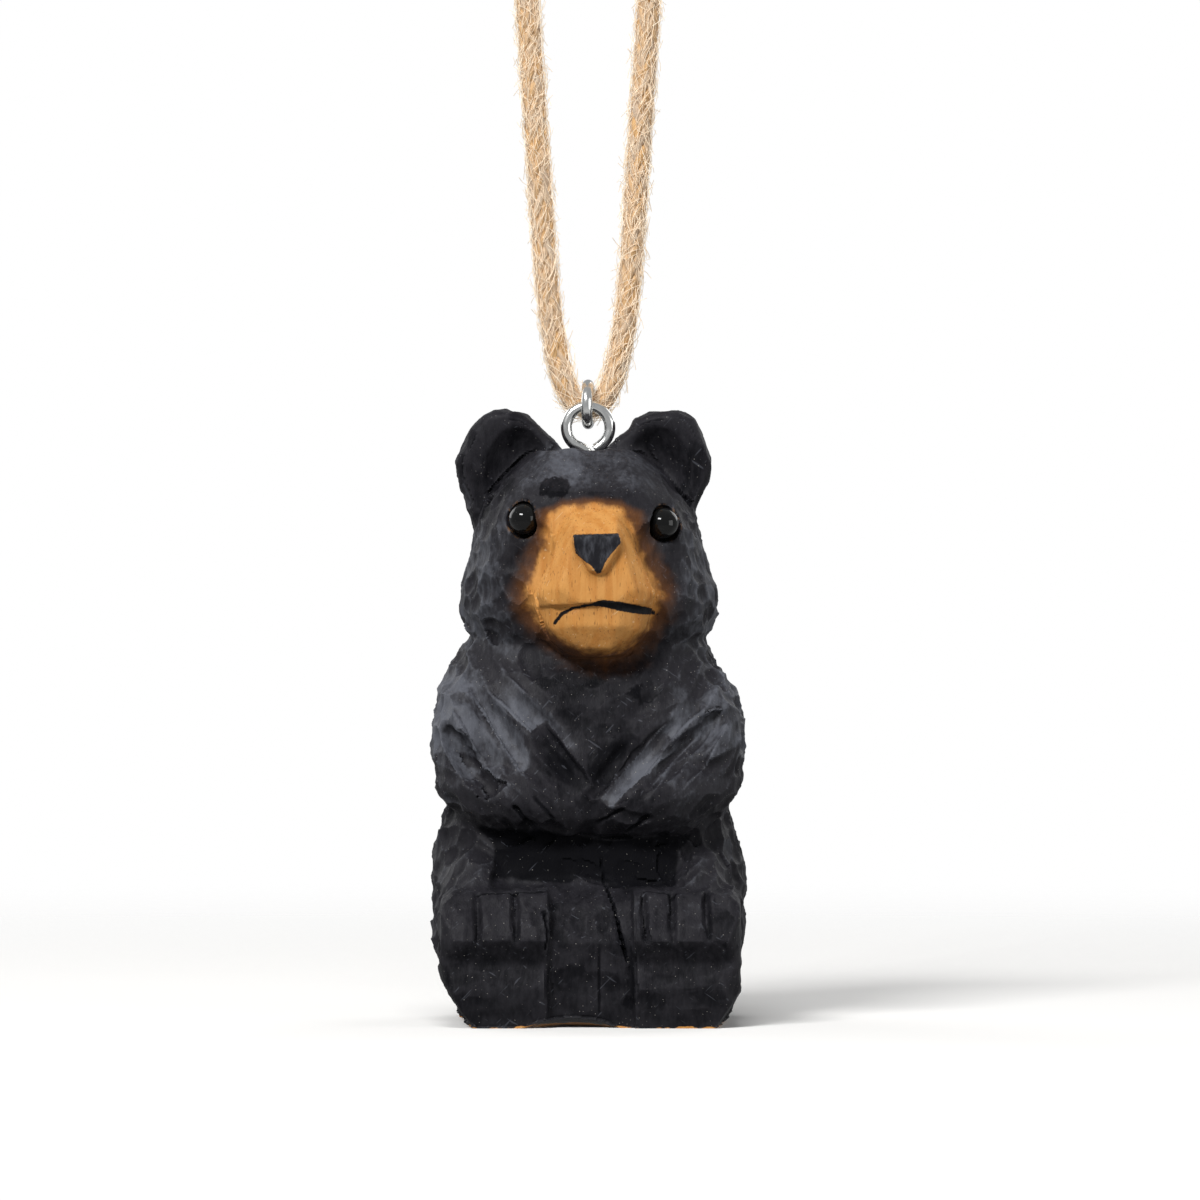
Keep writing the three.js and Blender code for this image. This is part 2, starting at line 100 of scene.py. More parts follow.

# Broad lighter and darker areas, partly how thickly the stain lies and wears and partly painted light and
# shade: an outline from the front, a tone, which is lighter above 0, and the width of its soft edge.
STAIN_AND_SHADE_PATCHES = [
    # Lighter forehead: stain worn thin, and painted sheen where it faces the light overhead.
    (
        [(-8.6, 62.6), (-5.6, 65.6), (5.5, 65.6), (9.4, 62.6), (7.5, 60.6), (4, 60.6), (-2, 60.6),
         (-7.6, 60.6)],
        0.42, 1.0,
    ),
    # Darker ear fronts and their hollows: darker stain, and painted shade in the hollows.
    ([(-15.6, 56), (-15.4, 70), (-8, 70.6), (-4, 67), (-8, 62.4), (-12.4, 56)], -0.12, 0.6),
    ([(12.4, 57), (14.6, 70), (8, 70.6), (3.6, 66.8), (8, 62.6), (11.4, 59)], -0.12, 0.6),
    ([(-13.2, 57), (-13.2, 66.6), (-9.5, 68.2), (-5, 66.6), (-7, 63), (-11.5, 58)], -0.3, 0.9),
    ([(12, 58.4), (13.0, 63.6), (11.6, 67.6), (8, 68.2), (5, 66.4), (7.4, 63.4), (10.8, 60)], -0.3, 0.9),
    # Darker lap under the folded paws: black paint, and painted shade in the recess under the arms.
    (
        [(-10.7, 16.8), (-10.5, 20.2), (-12.4, 22.4), (-4.2, 21.9), (2.1, 20.8), (6, 21.2), (11.6, 21.4),
         (10.2, 19.8), (9.8, 15.8), (3.6, 15.8), (-0.7, 16.9), (-2.4, 16.2), (-5.4, 16.3)],
        -1.35, 0.3,
    ),
    ([(-6.5, 34), (-2, 30.3), (-0.7, 26.7), (-6.7, 29.4)], -0.3, 0.15),
    ([(-0.1, 30.9), (4.9, 32.5), (0.3, 27)], -0.4, 0.15),
    ([(-2, 61), (3.4, 61.3), (5.2, 60.2), (3.5, 59.2), (-2, 59.2)], -0.4, 0.4),
    # Painted shade, darker low down: the fronts of the feet, the toes and the block between them.
    ([(-17, 0.4), (-17, 9.6), (-5, 9.6), (5, 9.6), (17, 9.6), (17, 0.4)], -0.42, 0.8),
    ([(-17, 9.6), (-17, 15.6), (-5, 15.6), (5, 15.6), (17, 15.6), (17, 9.6)], -0.2, 0.8),
    ([(-4.4, 0.4), (-3.8, 16), (5, 16), (5, 0.4)], -0.12, 0.6),
    # Painted shade under the chin and low on the chest, above the lap.
    ([(-6, 40), (-1, 30), (4, 30), (9, 40), (4, 41.6), (-3, 41.6)], -0.45, 2.4),
    ([(-6, 30), (-9, 24), (-4, 22), (4, 22), (9, 24), (4, 28)], -0.35, 1.6),
    # Painted light on the shoulders and arms, more on the left, which faces the light; painted shade under
    # the arms.
    ([(-19, 30), (-19, 43), (-13, 41), (-11, 31)], 0.6, 2.5),
    ([(19, 30), (19, 43), (14, 41), (11, 32)], 0.4, 2.5),
    ([(-19, 22), (-19, 28), (-9, 26), (-5, 22)], -0.2, 2.0),
    ([(19, 22), (19, 28), (9, 26), (5, 22)], -0.15, 2.0),
    ([(-18, 24), (-18, 40), (-9, 40), (-4, 31), (-9, 24)], 0.28, 1.6),
    ([(18, 26), (18, 40), (10, 38), (4, 30), (10, 25)], 0.22, 1.6),
    ([(-16, 42), (-16, 57), (-9.5, 57), (-9.5, 47), (-8, 42)], 0.45, 2.0),
    ([(16, 42), (16, 57), (10.5, 57), (10.5, 47), (9, 42)], 0.5, 2.0),
]

# Single cuts of the knife on the front: from and to (x, z), width, depth, section and tone. The tone is
# partly
# painted light: a painted sheen on the light chips, and painted shade in the dark vees, scoops and chips.
CUTS = [
    ((-4.0, 35.6), (-8.6, 40.4), 1.8, 0.35, "chip", 0.1),
    ((-9.4, 28.4), (-14.6, 36.6), 2.4, 0.4, "chip", 0.2),
    ((-6.6, 29.2), (-12.4, 38.4), 2.4, 0.5, "chip", 0.75),
    ((-1.3, 30.5), (-10.8, 39.4), 3.4, 0.5, "chip", 1.05),
    ((12.4, 33.8), (5.6, 27.2), 2.2, 0.4, "chip", 0.2),
    ((15.4, 34.4), (9.4, 27.0), 2.2, 0.4, "chip", 0.1),
    ((6.0, 30.5), (12.6, 37.1), -2.6, 0.45, "chip", 0.9),
    ((1.6, 25.5), (9.2, 32.9), -3.0, 0.5, "chip", 1.4),
    ((9.2, 35.6), (0.4, 26.2), 1.8, 0.5, "chip", 0.1),
    ((5.6, 33.0), (-0.6, 26.2), 3.4, 0.6, "chip", -0.4),
    ((-6.3, 33.6), (-0.4, 26.2), 3.6, 0.6, "chip", -0.5),
    ((0.9, 22.8), (4.2, 24.9), 0.7, 0.4, "vee", -0.4),
    ((4.0, 21.9), (7.0, 23.9), 0.7, 0.35, "vee", -0.4),
    ((-6.4, 26.4), (-3.6, 23.2), 0.7, 0.25, "vee", -0.3),
    ((-8.6, 25.1), (-6.4, 22.8), 0.7, 0.3, "vee", -0.4),
    ((-0.8, 16.9), (3.8, 15.7), 1.3, 0.35, "scoop", -0.4),
    ((10.2, 21.6), (10.9, 17.0), 1.4, 0.4, "scoop", -0.2),
    ((-5.0, 13.6), (-4.9, 8.6), 0.8, 0.9, "vee", -0.9),
    ((-12.9, 15.0), (-4.4, 14.8), 0.6, 0.3, "vee", -0.6),
    ((6.0, 15.4), (10.4, 15.1), 0.5, 0.2, "vee", -0.5),
    ((1.3, 19.6), (1.9, 15.9), 0.35, 0.4, "vee", -0.8),
    ((1.9, 16.1), (3.2, 12.2), 0.35, 0.5, "vee", -1.2),
    ((3.2, 12.6), (4.5, 7.2), 0.4, 0.5, "vee", -1.5),
    ((1.2, 9.6), (1.3, 1.4), 0.35, 0.15, "vee", -0.2),
    ((-14.8, 8.4), (-4.7, 8.6), 4.2, 0.18, "scoop", -0.1),
    ((5.6, 8.2), (15.8, 8.2), 4.2, 0.18, "scoop", -0.1),
]

# How the tool runs over each part of the bear: the first zone that holds a place is the one used. Each has
# its lowest and highest corner, the way its surface has to face, the flow of the cuts, then their half
# length, half width and depth. A flow of None runs towards the folded paws.
EVERYWHERE = (0, 0, 0)
FAR = 99
ZONES = [
    ((-FAR, -FAR, -1), (FAR, FAR, 1.0), (0, 0, -1), (1, 0, 0), 3.0, 2.0, 0.0),
    ((-8.0, -FAR, 41), (8.6, -11.2, 60), EVERYWHERE, (0, 0, -1), 4.0, 2.6, 0.06),
    ((-12.5, -FAR, 50), (12.5, -8.5, 60.4), EVERYWHERE, (0, 0, -1), 2.2, 1.4, 0.36),
    ((-9.5, -FAR, 58), (9.5, -2, 66.2), (0, -1, 0.3), (0, -0.3, -1), 4.6, 3.0, 0.2),
    ((-16, -FAR, 56), (-4, -1, 71), (0, -1, 0), (-0.3, 0, -1), 4.4, 2.8, 0.18),
    ((4, -FAR, 56), (16, -1, 71), (0, -1, 0), (0.3, 0, -1), 4.4, 2.8, 0.18),
    ((-FAR, -FAR, 62), (FAR, FAR, 72), EVERYWHERE, (0, 0.5, -1), 3.0, 1.9, 0.6),
    ((-FAR, -FAR, 44), (FAR, FAR, 72), EVERYWHERE, (0, 0.35, -1), 2.1, 1.6, 0.8),
    ((-7, -FAR, 30), (7, -4, 44), EVERYWHERE, (1, 0, 0.1), 3.0, 1.6, 0.36),
    ((-FAR, -FAR, 22), (FAR, 0, 46), (0, -1, 0), None, 4.0, 1.5, 0.66),
    ((-FAR, 3, 19), (FAR, FAR, 46), (0, 1, 0.2), (0, 0, -1), 4.0, 2.0, 0.7),
    ((-FAR, -FAR, 22), (FAR, FAR, 46), EVERYWHERE, (0, -0.5, -0.85), 2.1, 1.8, 1.1),
    ((-11.5, -13, 15.8), (10.5, FAR, 22.8), (0, -1, 0), (1, 0, 0), 4.6, 1.8, 0.12),
    ((-FAR, -FAR, 9.4), (FAR, -12, 17), EVERYWHERE, (0, 0.3, 1), 2.8, 1.5, 0.4),
    ((-FAR, -FAR, 0), (FAR, -15, 9.6), (0, -1, 0), (1, 0, 0.1), 4.6, 2.0, 0.32),
    ((-5.5, -FAR, 0), (6, -9, 17), EVERYWHERE, (0, 0, 1), 3.6, 1.8, 0.36),
    ((-FAR, -9, -1), (FAR, FAR, 24), EVERYWHERE, (0, 0.15, -1), 2.4, 1.9, 1.0),
    ((-FAR, -FAR, -FAR), (FAR, FAR, FAR), EVERYWHERE, (0, 0.2, -1), 2.6, 1.8, 0.85),
]

# The cord from the fold in the jump ring up the right leg of its loop: x and z; the left leg mirrors it.
CORD_BACK = 1.7
HALF_LOOP = [
    (0, 69.9), (1, 70.15), (1.8, 71), (2.6, 72.6), (3.3, 74.9), (4, 78.4), (4.7, 84), (5.3, 92), (5.9, 101),
    (6.6, 111), (7, 119), (6.8, 126), (5.6, 133), (3.4, 139), (1.9, 141.7),
]
KNOT_HEIGHT = 146.3
TAIL = 9.0
LOOSE_KNOT = [
    (0, 0, -34), (0, 0, -16), (1.5, -2.2, -6), (7, -2.4, 3), (3, 2.2, 9), (-6, 2.4, 5), (-6.5, -2.0, -4),
    (0.5, -3.4, -6.5), (6.0, 1.0, -3.0), (3.0, 3.2, 3.0), (-1.0, 0.6, 7.5), (0, 0, 16), (0, 0, 34),
]
CORD_STEP = 0.3  # between the points of a cord's middle line
PATH_STEP = 1.0  # the same where less will do
KNOT_PULL = 0.12  # how far the ends are drawn apart at each step of the tying
KNOT_STIFFNESS = 0.12  # how much the cord straightens at each step


# ---- Settings ----

def hex_colour(code):
    """An sRGB hex colour as a linear RGB triple, which is what shaders take."""
    channels = [int(code[i : i + 2], 16) / 255 for i in (1, 3, 5)]
    return [c / 12.92 if c <= 0.04045 else ((c + 0.055) / 1.055) ** 2.4 for c in channels]


def colour(name, description, code):
    return FloatVectorProperty(
        name=name, description=description, default=hex_colour(code), subtype="COLOR", size=3, min=0, max=1
    )


def length(name, description, millimetres):
    return FloatProperty(
        name=name, description=description, default=millimetres * MM, unit="LENGTH", precision=5
    )


class BearCarvingSettings(bpy.types.PropertyGroup):
    grain_of_mesh: length("Finest facet", "Spacing of the carving's mesh", 0.23)
    most_triangles: IntProperty(name="Triangles", description="Size of the finished mesh", default=190000)
    tool: FloatProperty(name="Tool size", description="Scales every cut's length and width", default=1.0)
    bite: FloatProperty(name="Bite", description="Scales the depth of every cut", default=1.0)
    # Thick stain is also painted shade in recesses and low down, and worn stain also a painted sheen where
    # light falls.
    stain: colour("Black stain", "Stain where it lies at its usual thickness", "#201f23")
    stain_thick_and_shaded: colour("Thick stain", "Stain in hollows, where it pools", "#101013")
    stain_worn_and_lit: colour("Worn stain", "Stain on ridges and planed cuts, where it wears thin", "#54565d")
    bare_wood: colour("Bare wood", "The light muzzle", "#c58d4d")
    wood_late: colour("Darker grain", "Darker streaks in the bare wood", "#b87c3d")
    haze: colour("Brown haze", "Where the stain thins out over the wood, and the pores in it", "#5e3b20")
    nose_paint: colour("Nose paint", "Matt black paint on nose and mouth", "#1b1b1f")


class BearCordSettings(bpy.types.PropertyGroup):
    diameter: length("Diameter", "Outside diameter of the braid", 2.67)
    strands: IntProperty(name="Strands each way", description="Yarns in each direction", default=8, min=4)
    pitch: length("Pitch", "Length of one full turn of a yarn", 17.0)
    fibres: IntProperty(name="Loose fibres", description="How many on a square centimetre", default=460)
    jute: colour("Jute", "The yarn", "#cfa673")
    jute_dark: colour("Dark jute", "Between the yarns", "#94632f")
    jute_pale: colour("Pale jute", "Bleached yarn and loose fibres", "#f1e5d1")


class BearMetalSettings(bpy.types.PropertyGroup):
    wire: length("Screw eye wire", "Diameter of the screw eye's wire", 1.27)
    ring_wire: length("Jump ring wire", "Diameter of the jump ring's wire", 1.3)
    plating: colour("Plating", "Colour of the bright nickel plating", "#e6e6e4")


class BearStageSettings(bpy.types.PropertyGroup):
    view_width: length("View width", "Width of what the camera sees at the bear", 136.1)
    floor: colour("Floor", "The pale floor", "#f4f3f1")
    key: FloatProperty(name="Key light", description="Soft light high at the front left", default=12.5)
    top: FloatProperty(name="Top light", description="Soft light overhead", default=4.3)
    fill: FloatProperty(name="Fill light", description="Soft light from the right", default=3.2)


# ---- Arrays, nodes and meshes ----

def unit(vectors):
    return vectors / np.linalg.norm(vectors, axis=-1, keepdims=True)


def read_array(items, what, width, kind=float):
    """One thing about every vertex or edge of a mesh, as an array with that many columns."""
    values = np.empty(len(items) * width, kind)
    items.foreach_get(what, values)
    return values.reshape(-1, width)


def finder(points):
    """What finds the points nearest to a place."""
    tree = KDTree(len(points))
    for i, point in enumerate(points):
        tree.insert(point, i)
    tree.balance()
    return tree


def fill(node, inputs):
    """Sets or links a node's inputs, which are given by name or number."""
    for socket, value in inputs.items():
        if isinstance(value, bpy.types.NodeSocket):
            node.id_data.links.new(value, node.inputs[socket])
        else:
            node.inputs[socket].default_value = value


class Nodes:
    """A node tree being built. A kind of node named without its family is of the tree's own."""

    family = "ShaderNode"

    def __init__(self, tree):
        self.tree = tree
        tree.nodes.clear()

    def node(self, kind, inputs=None, **settings):
        node = self.tree.nodes.new(kind if "Node" in kind else self.family + kind)
        for name, value in settings.items():
            setattr(node, name, value)
        fill(node, inputs or {})
        return node

    def out(self, kind, inputs=None, output=0, **settings):
        """One output of a new node."""
        return self.node(kind, inputs, **settings).outputs[output]

    def calc(self, operation, first, *others):
        """Values combined in their order, two at a time. A function of one value takes no others."""
        for other in others or (0.0,):
            first = self.out("ShaderNodeMath", {0: first, 1: other}, operation=operation)
        return first

    def scaled(self, vector, share):
        return self.out("ShaderNodeVectorMath", {0: vector, 3: share}, operation="SCALE")


class Look(Nodes):
    """A material being built, with the nodes that most of them use."""

    def __init__(self, name, noise_roughness=0.5):
        self.material = bpy.data.materials.new(name)
        self.material.use_nodes = True
        super().__init__(self.material.node_tree)
        self.noise_roughness = noise_roughness
        self.shader = self.node("BsdfPrincipled")
        self.surface = self.node("OutputMaterial", {"Surface": self.shader.outputs[0]})
        self.place = self.out("TexCoord", output="Object")

    def read(self, name):
        """What the mesh's own layer of that name holds."""
        return self.out("Attribute", output="Fac", attribute_name=name)

    def noise(self, millimetres, detail=3.0, stretch=(1, 1, 1), turn=0.0, place=None):
        """Noise of about this size. A share below 1 in the stretch draws it out along that axis."""
        inputs = {"Vector": self.place if place is None else place, "Rotation": (0, turn, 0)}
        inputs["Scale"] = [1 / share for share in stretch]
        mapped = self.out("Mapping", inputs, vector_type="TEXTURE")
        inputs = {"Vector": mapped, "Scale": 1 / (millimetres * MM)}
        return self.out("TexNoise", {**inputs, "Detail": detail, "Roughness": self.noise_roughness})

    def ramp(self, value, low, high, start=0.0, end=1.0, smooth=True):
        return self.out(
            "MapRange", {"Value": value, "From Min": low, "From Max": high, "To Min": start, "To Max": end},
            interpolation_type="SMOOTHSTEP" if smooth else "LINEAR",
        )

    def mix(self, factor, *colours):
        first, second = (c if isinstance(c, bpy.types.NodeSocket) else (*c, 1) for c in colours)
        return self.out("Mix", {0: factor, 6: first, 7: second}, 2, data_type="RGBA")

    def bump(self, height, strength, millimetres):
        return self.out("Bump", {"Height": height, "Strength": strength, "Distance": millimetres * MM})


class Growth(Nodes):
    """Geometry nodes being built, which grow a piece from lines in the material that they are given."""

    family = "GeometryNode"

    def __init__(self, name, numbers):
        super().__init__(bpy.data.node_groups.new(name, "GeometryNodeTree"))
        for socket, kind in {"Line": "Geometry", **numbers, "Material": "Material"}.items():
            self.tree.interface.new_socket(socket, in_out="INPUT", socket_type="NodeSocket" + kind)
        self.tree.interface.new_socket("Piece", in_out="OUTPUT", socket_type="NodeSocketGeometry")
        self.given = self.node("NodeGroupInput").outputs
        self.line = self.out("MeshToCurve", {0: self.given["Line"]})

    def circle(self, sides, radius):
        return self.out("CurvePrimitiveCircle", {"Resolution": sides, "Radius": radius}, mode="RADIUS")

    def captured(self, geometry, **fields):
        """The outputs of a node that keeps the fields as they are before what follows."""
        kept = self.node("CaptureAttribute", {"Geometry": geometry}, domain="POINT")
        for name, (kind, value) in fields.items():
            kept.capture_items.new(kind, name)
            fill(kept, {name: value})
        return kept.outputs

    def stored(self, geometry, name, value):
        inputs = {"Geometry": geometry, "Name": name, "Value": value}
        return self.out("StoreNamedAttribute", inputs, data_type="FLOAT", domain="POINT")

    def finish(self, geometry):
        real = self.out("RealizeInstances", {"Geometry": geometry})
        whole = self.out("SetMaterial", {"Geometry": real, "Material": self.given["Material"]})
        self.node("NodeGroupOutput", {"Piece": whole})
        return self.tree


def linked(thing):
    bpy.context.scene.collection.objects.link(thing)
    return thing


def write_layer(mesh, name, values):
    layer = mesh.attributes.new(name, "FLOAT", "POINT")
    layer.data.foreach_set("value", np.asarray(values, np.float32))


def box_of(node):
    """The corners of a CAD node's box, in millimetres."""
    return (np.array(corner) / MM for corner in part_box(node))


def mesh_object(name, points, faces, material, edges=()):
    """A mesh object at the origin, from points in millimetres."""
    mesh = bpy.data.meshes.new(name)
    mesh.from_pydata([tuple(p) for p in np.asarray(points, float) * MM], edges, faces)
    if material:
        mesh.materials.append(material)
    mesh.shade_smooth()
    return linked(bpy.data.objects.new(name, mesh))


def evaluated_mesh(thing, name):
    """What the object's modifiers make of it, as a plain mesh; the modifiers are then removed."""
    bpy.context.view_layer.update()
    shown = thing.evaluated_get(bpy.context.evaluated_depsgraph_get())
    made = bpy.data.meshes.new_from_object(shown)
    made.name = name
    thing.modifiers.clear()
    thing.data = made
    return thing


def finish_piece(thing, slot, *nodes):
    """Gives a finished piece to the body that it rides on."""
    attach(thing, "root")
    if nodes:
        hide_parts(*nodes)


def smooth_line(points, step):
    """A centripetal Catmull-Rom curve through the points, with even steps."""
    p = np.asarray(points, float)
    p = np.vstack([2 * p[0] - p[1], p, 2 * p[-1] - p[-2]])
    fine = []
    for a, b, c, d in zip(p, p[1:], p[2:], p[3:]):
        t = np.cumsum([0, *(np.linalg.norm(e) ** 0.5 for e in (b - a, c - b, d - c))])
        u = np.linspace(t[1], t[2], 24, endpoint=False)[:, None]
        ab = (t[1] - u) / (t[1] - t[0]) * a + (u - t[0]) / (t[1] - t[0]) * b
        bc = (t[2] - u) / (t[2] - t[1]) * b + (u - t[1]) / (t[2] - t[1]) * c
        cd = (t[3] - u) / (t[3] - t[2]) * c + (u - t[2]) / (t[3] - t[2]) * d
        abc = (t[2] - u) / (t[2] - t[0]) * ab + (u - t[0]) / (t[2] - t[0]) * bc
        bcd = (t[3] - u) / (t[3] - t[1]) * bc + (u - t[1]) / (t[3] - t[1]) * cd
        fine.append((t[2] - u) / (t[2] - t[1]) * abc + (u - t[1]) / (t[2] - t[1]) * bcd)
    return even_steps(np.vstack([*fine, p[-2:-1]]), step)


def run_along(line):
    """How far along a line each of its points lies."""
    return np.concatenate([[0], np.cumsum(np.linalg.norm(np.diff(line, axis=0), axis=1))])


def even_steps(line, step):
    """The same line with points at even distances."""
    run = run_along(line)
    places = np.linspace(0, run[-1], max(2, int(round(run[-1] / step)) + 1))
    return np.column_stack([np.interp(places, run, line[:, i]) for i in range(3)])


def carried_along(line, side):
    """The way the line runs at each point, and a sideways direction carried along it without a twist."""
    along = unit(np.gradient(line, axis=0))
    sides = []
    for way in along:
        side = unit(side - way * (side @ way))
        sides.append(side)
    return along, np.array(sides)


def tube(name, rings, material):
    """A closed tube through rings of points that all have the same count, capped at both ends."""
    rings = np.asarray(rings, float)
    count, sides, _ = rings.shape
    faces = [
        (r * sides + k, r * sides + (k + 1) % sides, (r + 1) * sides + (k + 1) % sides, (r + 1) * sides + k)
        for r in range(count - 1)
        for k in range(sides)
    ]
    faces += [tuple(reversed(range(sides))), tuple(range((count - 1) * sides, count * sides))]
    thing = mesh_object(name, rings.reshape(-1, 3), faces, material)
    work = bmesh.new()
    work.from_mesh(thing.data)
    bmesh.ops.recalc_face_normals(work, faces=work.faces)
    work.to_mesh(thing.data)
    work.free()
    return thing


def wire(name, line, radii, material, sides=20):
    """A round wire along a line, its radius given at each point."""
    line = np.asarray(line, float)
    along, across = carried_along(line, np.cross(line[1] - line[0], [0.3, 0.2, 1.0]))
    turns = TURN * np.arange(sides)[:, None] / sides
    rings = [
        here + radius * (np.cos(turns) * side + np.sin(turns) * np.cross(way, side))
        for here, way, side, radius in zip(line, along, across, np.broadcast_to(radii, len(line)))
    ]
    return tube(name, rings, material)


# ---- Materials ----

def jute_material(settings):
    """Braided jute: pale and hairy, with fine lengthwise fibres and darker blotches."""
    look = Look("braided_jute")
    layers = [look.read(name) for name in ("around", "along", "strand")]
    place = look.out("CombineXYZ", dict(enumerate(layers)))
    # Fibres about 0.08 mm across and 2 mm long: 9 across a yarn's outline.
    fibre = look.noise(METRE, 3.0, (9, 600, 3.7), place=place)
    blotch = look.noise(METRE, 2.0, (0.6, 170, 5.3), place=place)
    yarn = look.mix(fibre, settings.jute_dark, settings.jute_pale)
    fill(look.shader, {
        "Base Color": look.mix(look.ramp(blotch, 0.35, 0.65, smooth=False), yarn, settings.jute),
        "Normal": look.bump(fibre, 0.6, 0.1),
        "Roughness": 0.85, "Sheen Weight": 0.35, "Sheen Roughness": 0.4,
    })
    return look.material


def loose_fibre_material(settings):
    """Single jute fibres: thin, pale, slightly shiny and faintly glowing, so they read as fuzz against the
    yarn.
    """
    look = Look("loose_jute_fibre")
    between = [0.5 * (a + b) for a, b in zip(settings.jute, settings.jute_pale)]
    tint = look.mix(look.noise(1.0, 2.0), settings.jute_pale, between)
    # A faint glow is painted light, in place of the light that passes through so thin a fibre, so its far
    # side isn't dark.
    fill(look.shader, {
        "Base Color": tint, "Emission Color": tint, "Roughness": 0.6, "Emission Strength": 0.28,
    })
    return look.material


def plated_steel_material(settings):
    """Nickel-plated steel wire: polished, with faint drawing lines and dull spots from handling."""
    look = Look("nickel_plated_wire")
    spots = look.noise(1 / 1.4, 4.0)
    fill(look.shader, {
        "Base Color": (*settings.plating, 1), "Metallic": 1.0,
        "Roughness": look.ramp(spots, 0.35, 0.75, 0.14, 0.32, smooth=False),
        "Normal": look.bump(spots, 0.15, 0.05),
    })
    return look.material


def bead_material():
    """Black glass bead: deep gloss, and a little dust that dulls it in specks."""
    look = Look("black_glass_bead")
    dust = look.noise(1 / 6, 2.0)
    grey = look.ramp(dust, 0.68, 0.8, 0.004, 0.05, smooth=False)
    fill(look.shader, {
        "Base Color": look.out("CombineColor", {i: grey for i in range(3)}),
        "Roughness": look.ramp(dust, 0.66, 0.78, 0.04, 0.3, smooth=False),
        "Specular IOR Level": 0.26,
    })
    return look.material


def floor_material(settings):
    """A matt painted board: nearly white, with a breath of unevenness so that it isn't a flat colour."""
    look = Look("matt_white_board")
    tint = look.mix(look.noise(METRE / 9, 2.0), settings.floor, [0.98 * c for c in settings.floor])
    fill(look.shader, {"Base Color": tint, "Roughness": 0.9, "Specular IOR Level": 0.2})
    # It fades into the white room, and throws only a little light back up.
    near = look.ramp(look.out("VectorMath", {0: look.place}, "Value", operation="LENGTH"), 0.35, 0.06)
    seen = look.ramp(look.out("LightPath", output="Is Camera Ray"), 0.0, 1.0, 0.25, smooth=False)
    kept = look.calc("MULTIPLY", near, seen)
    clear = look.out("BsdfTransparent")
    fill(look.surface, {"Surface": look.out("MixShader", {0: kept, 1: clear, 2: look.shader.outputs[0]})})
    return look.material


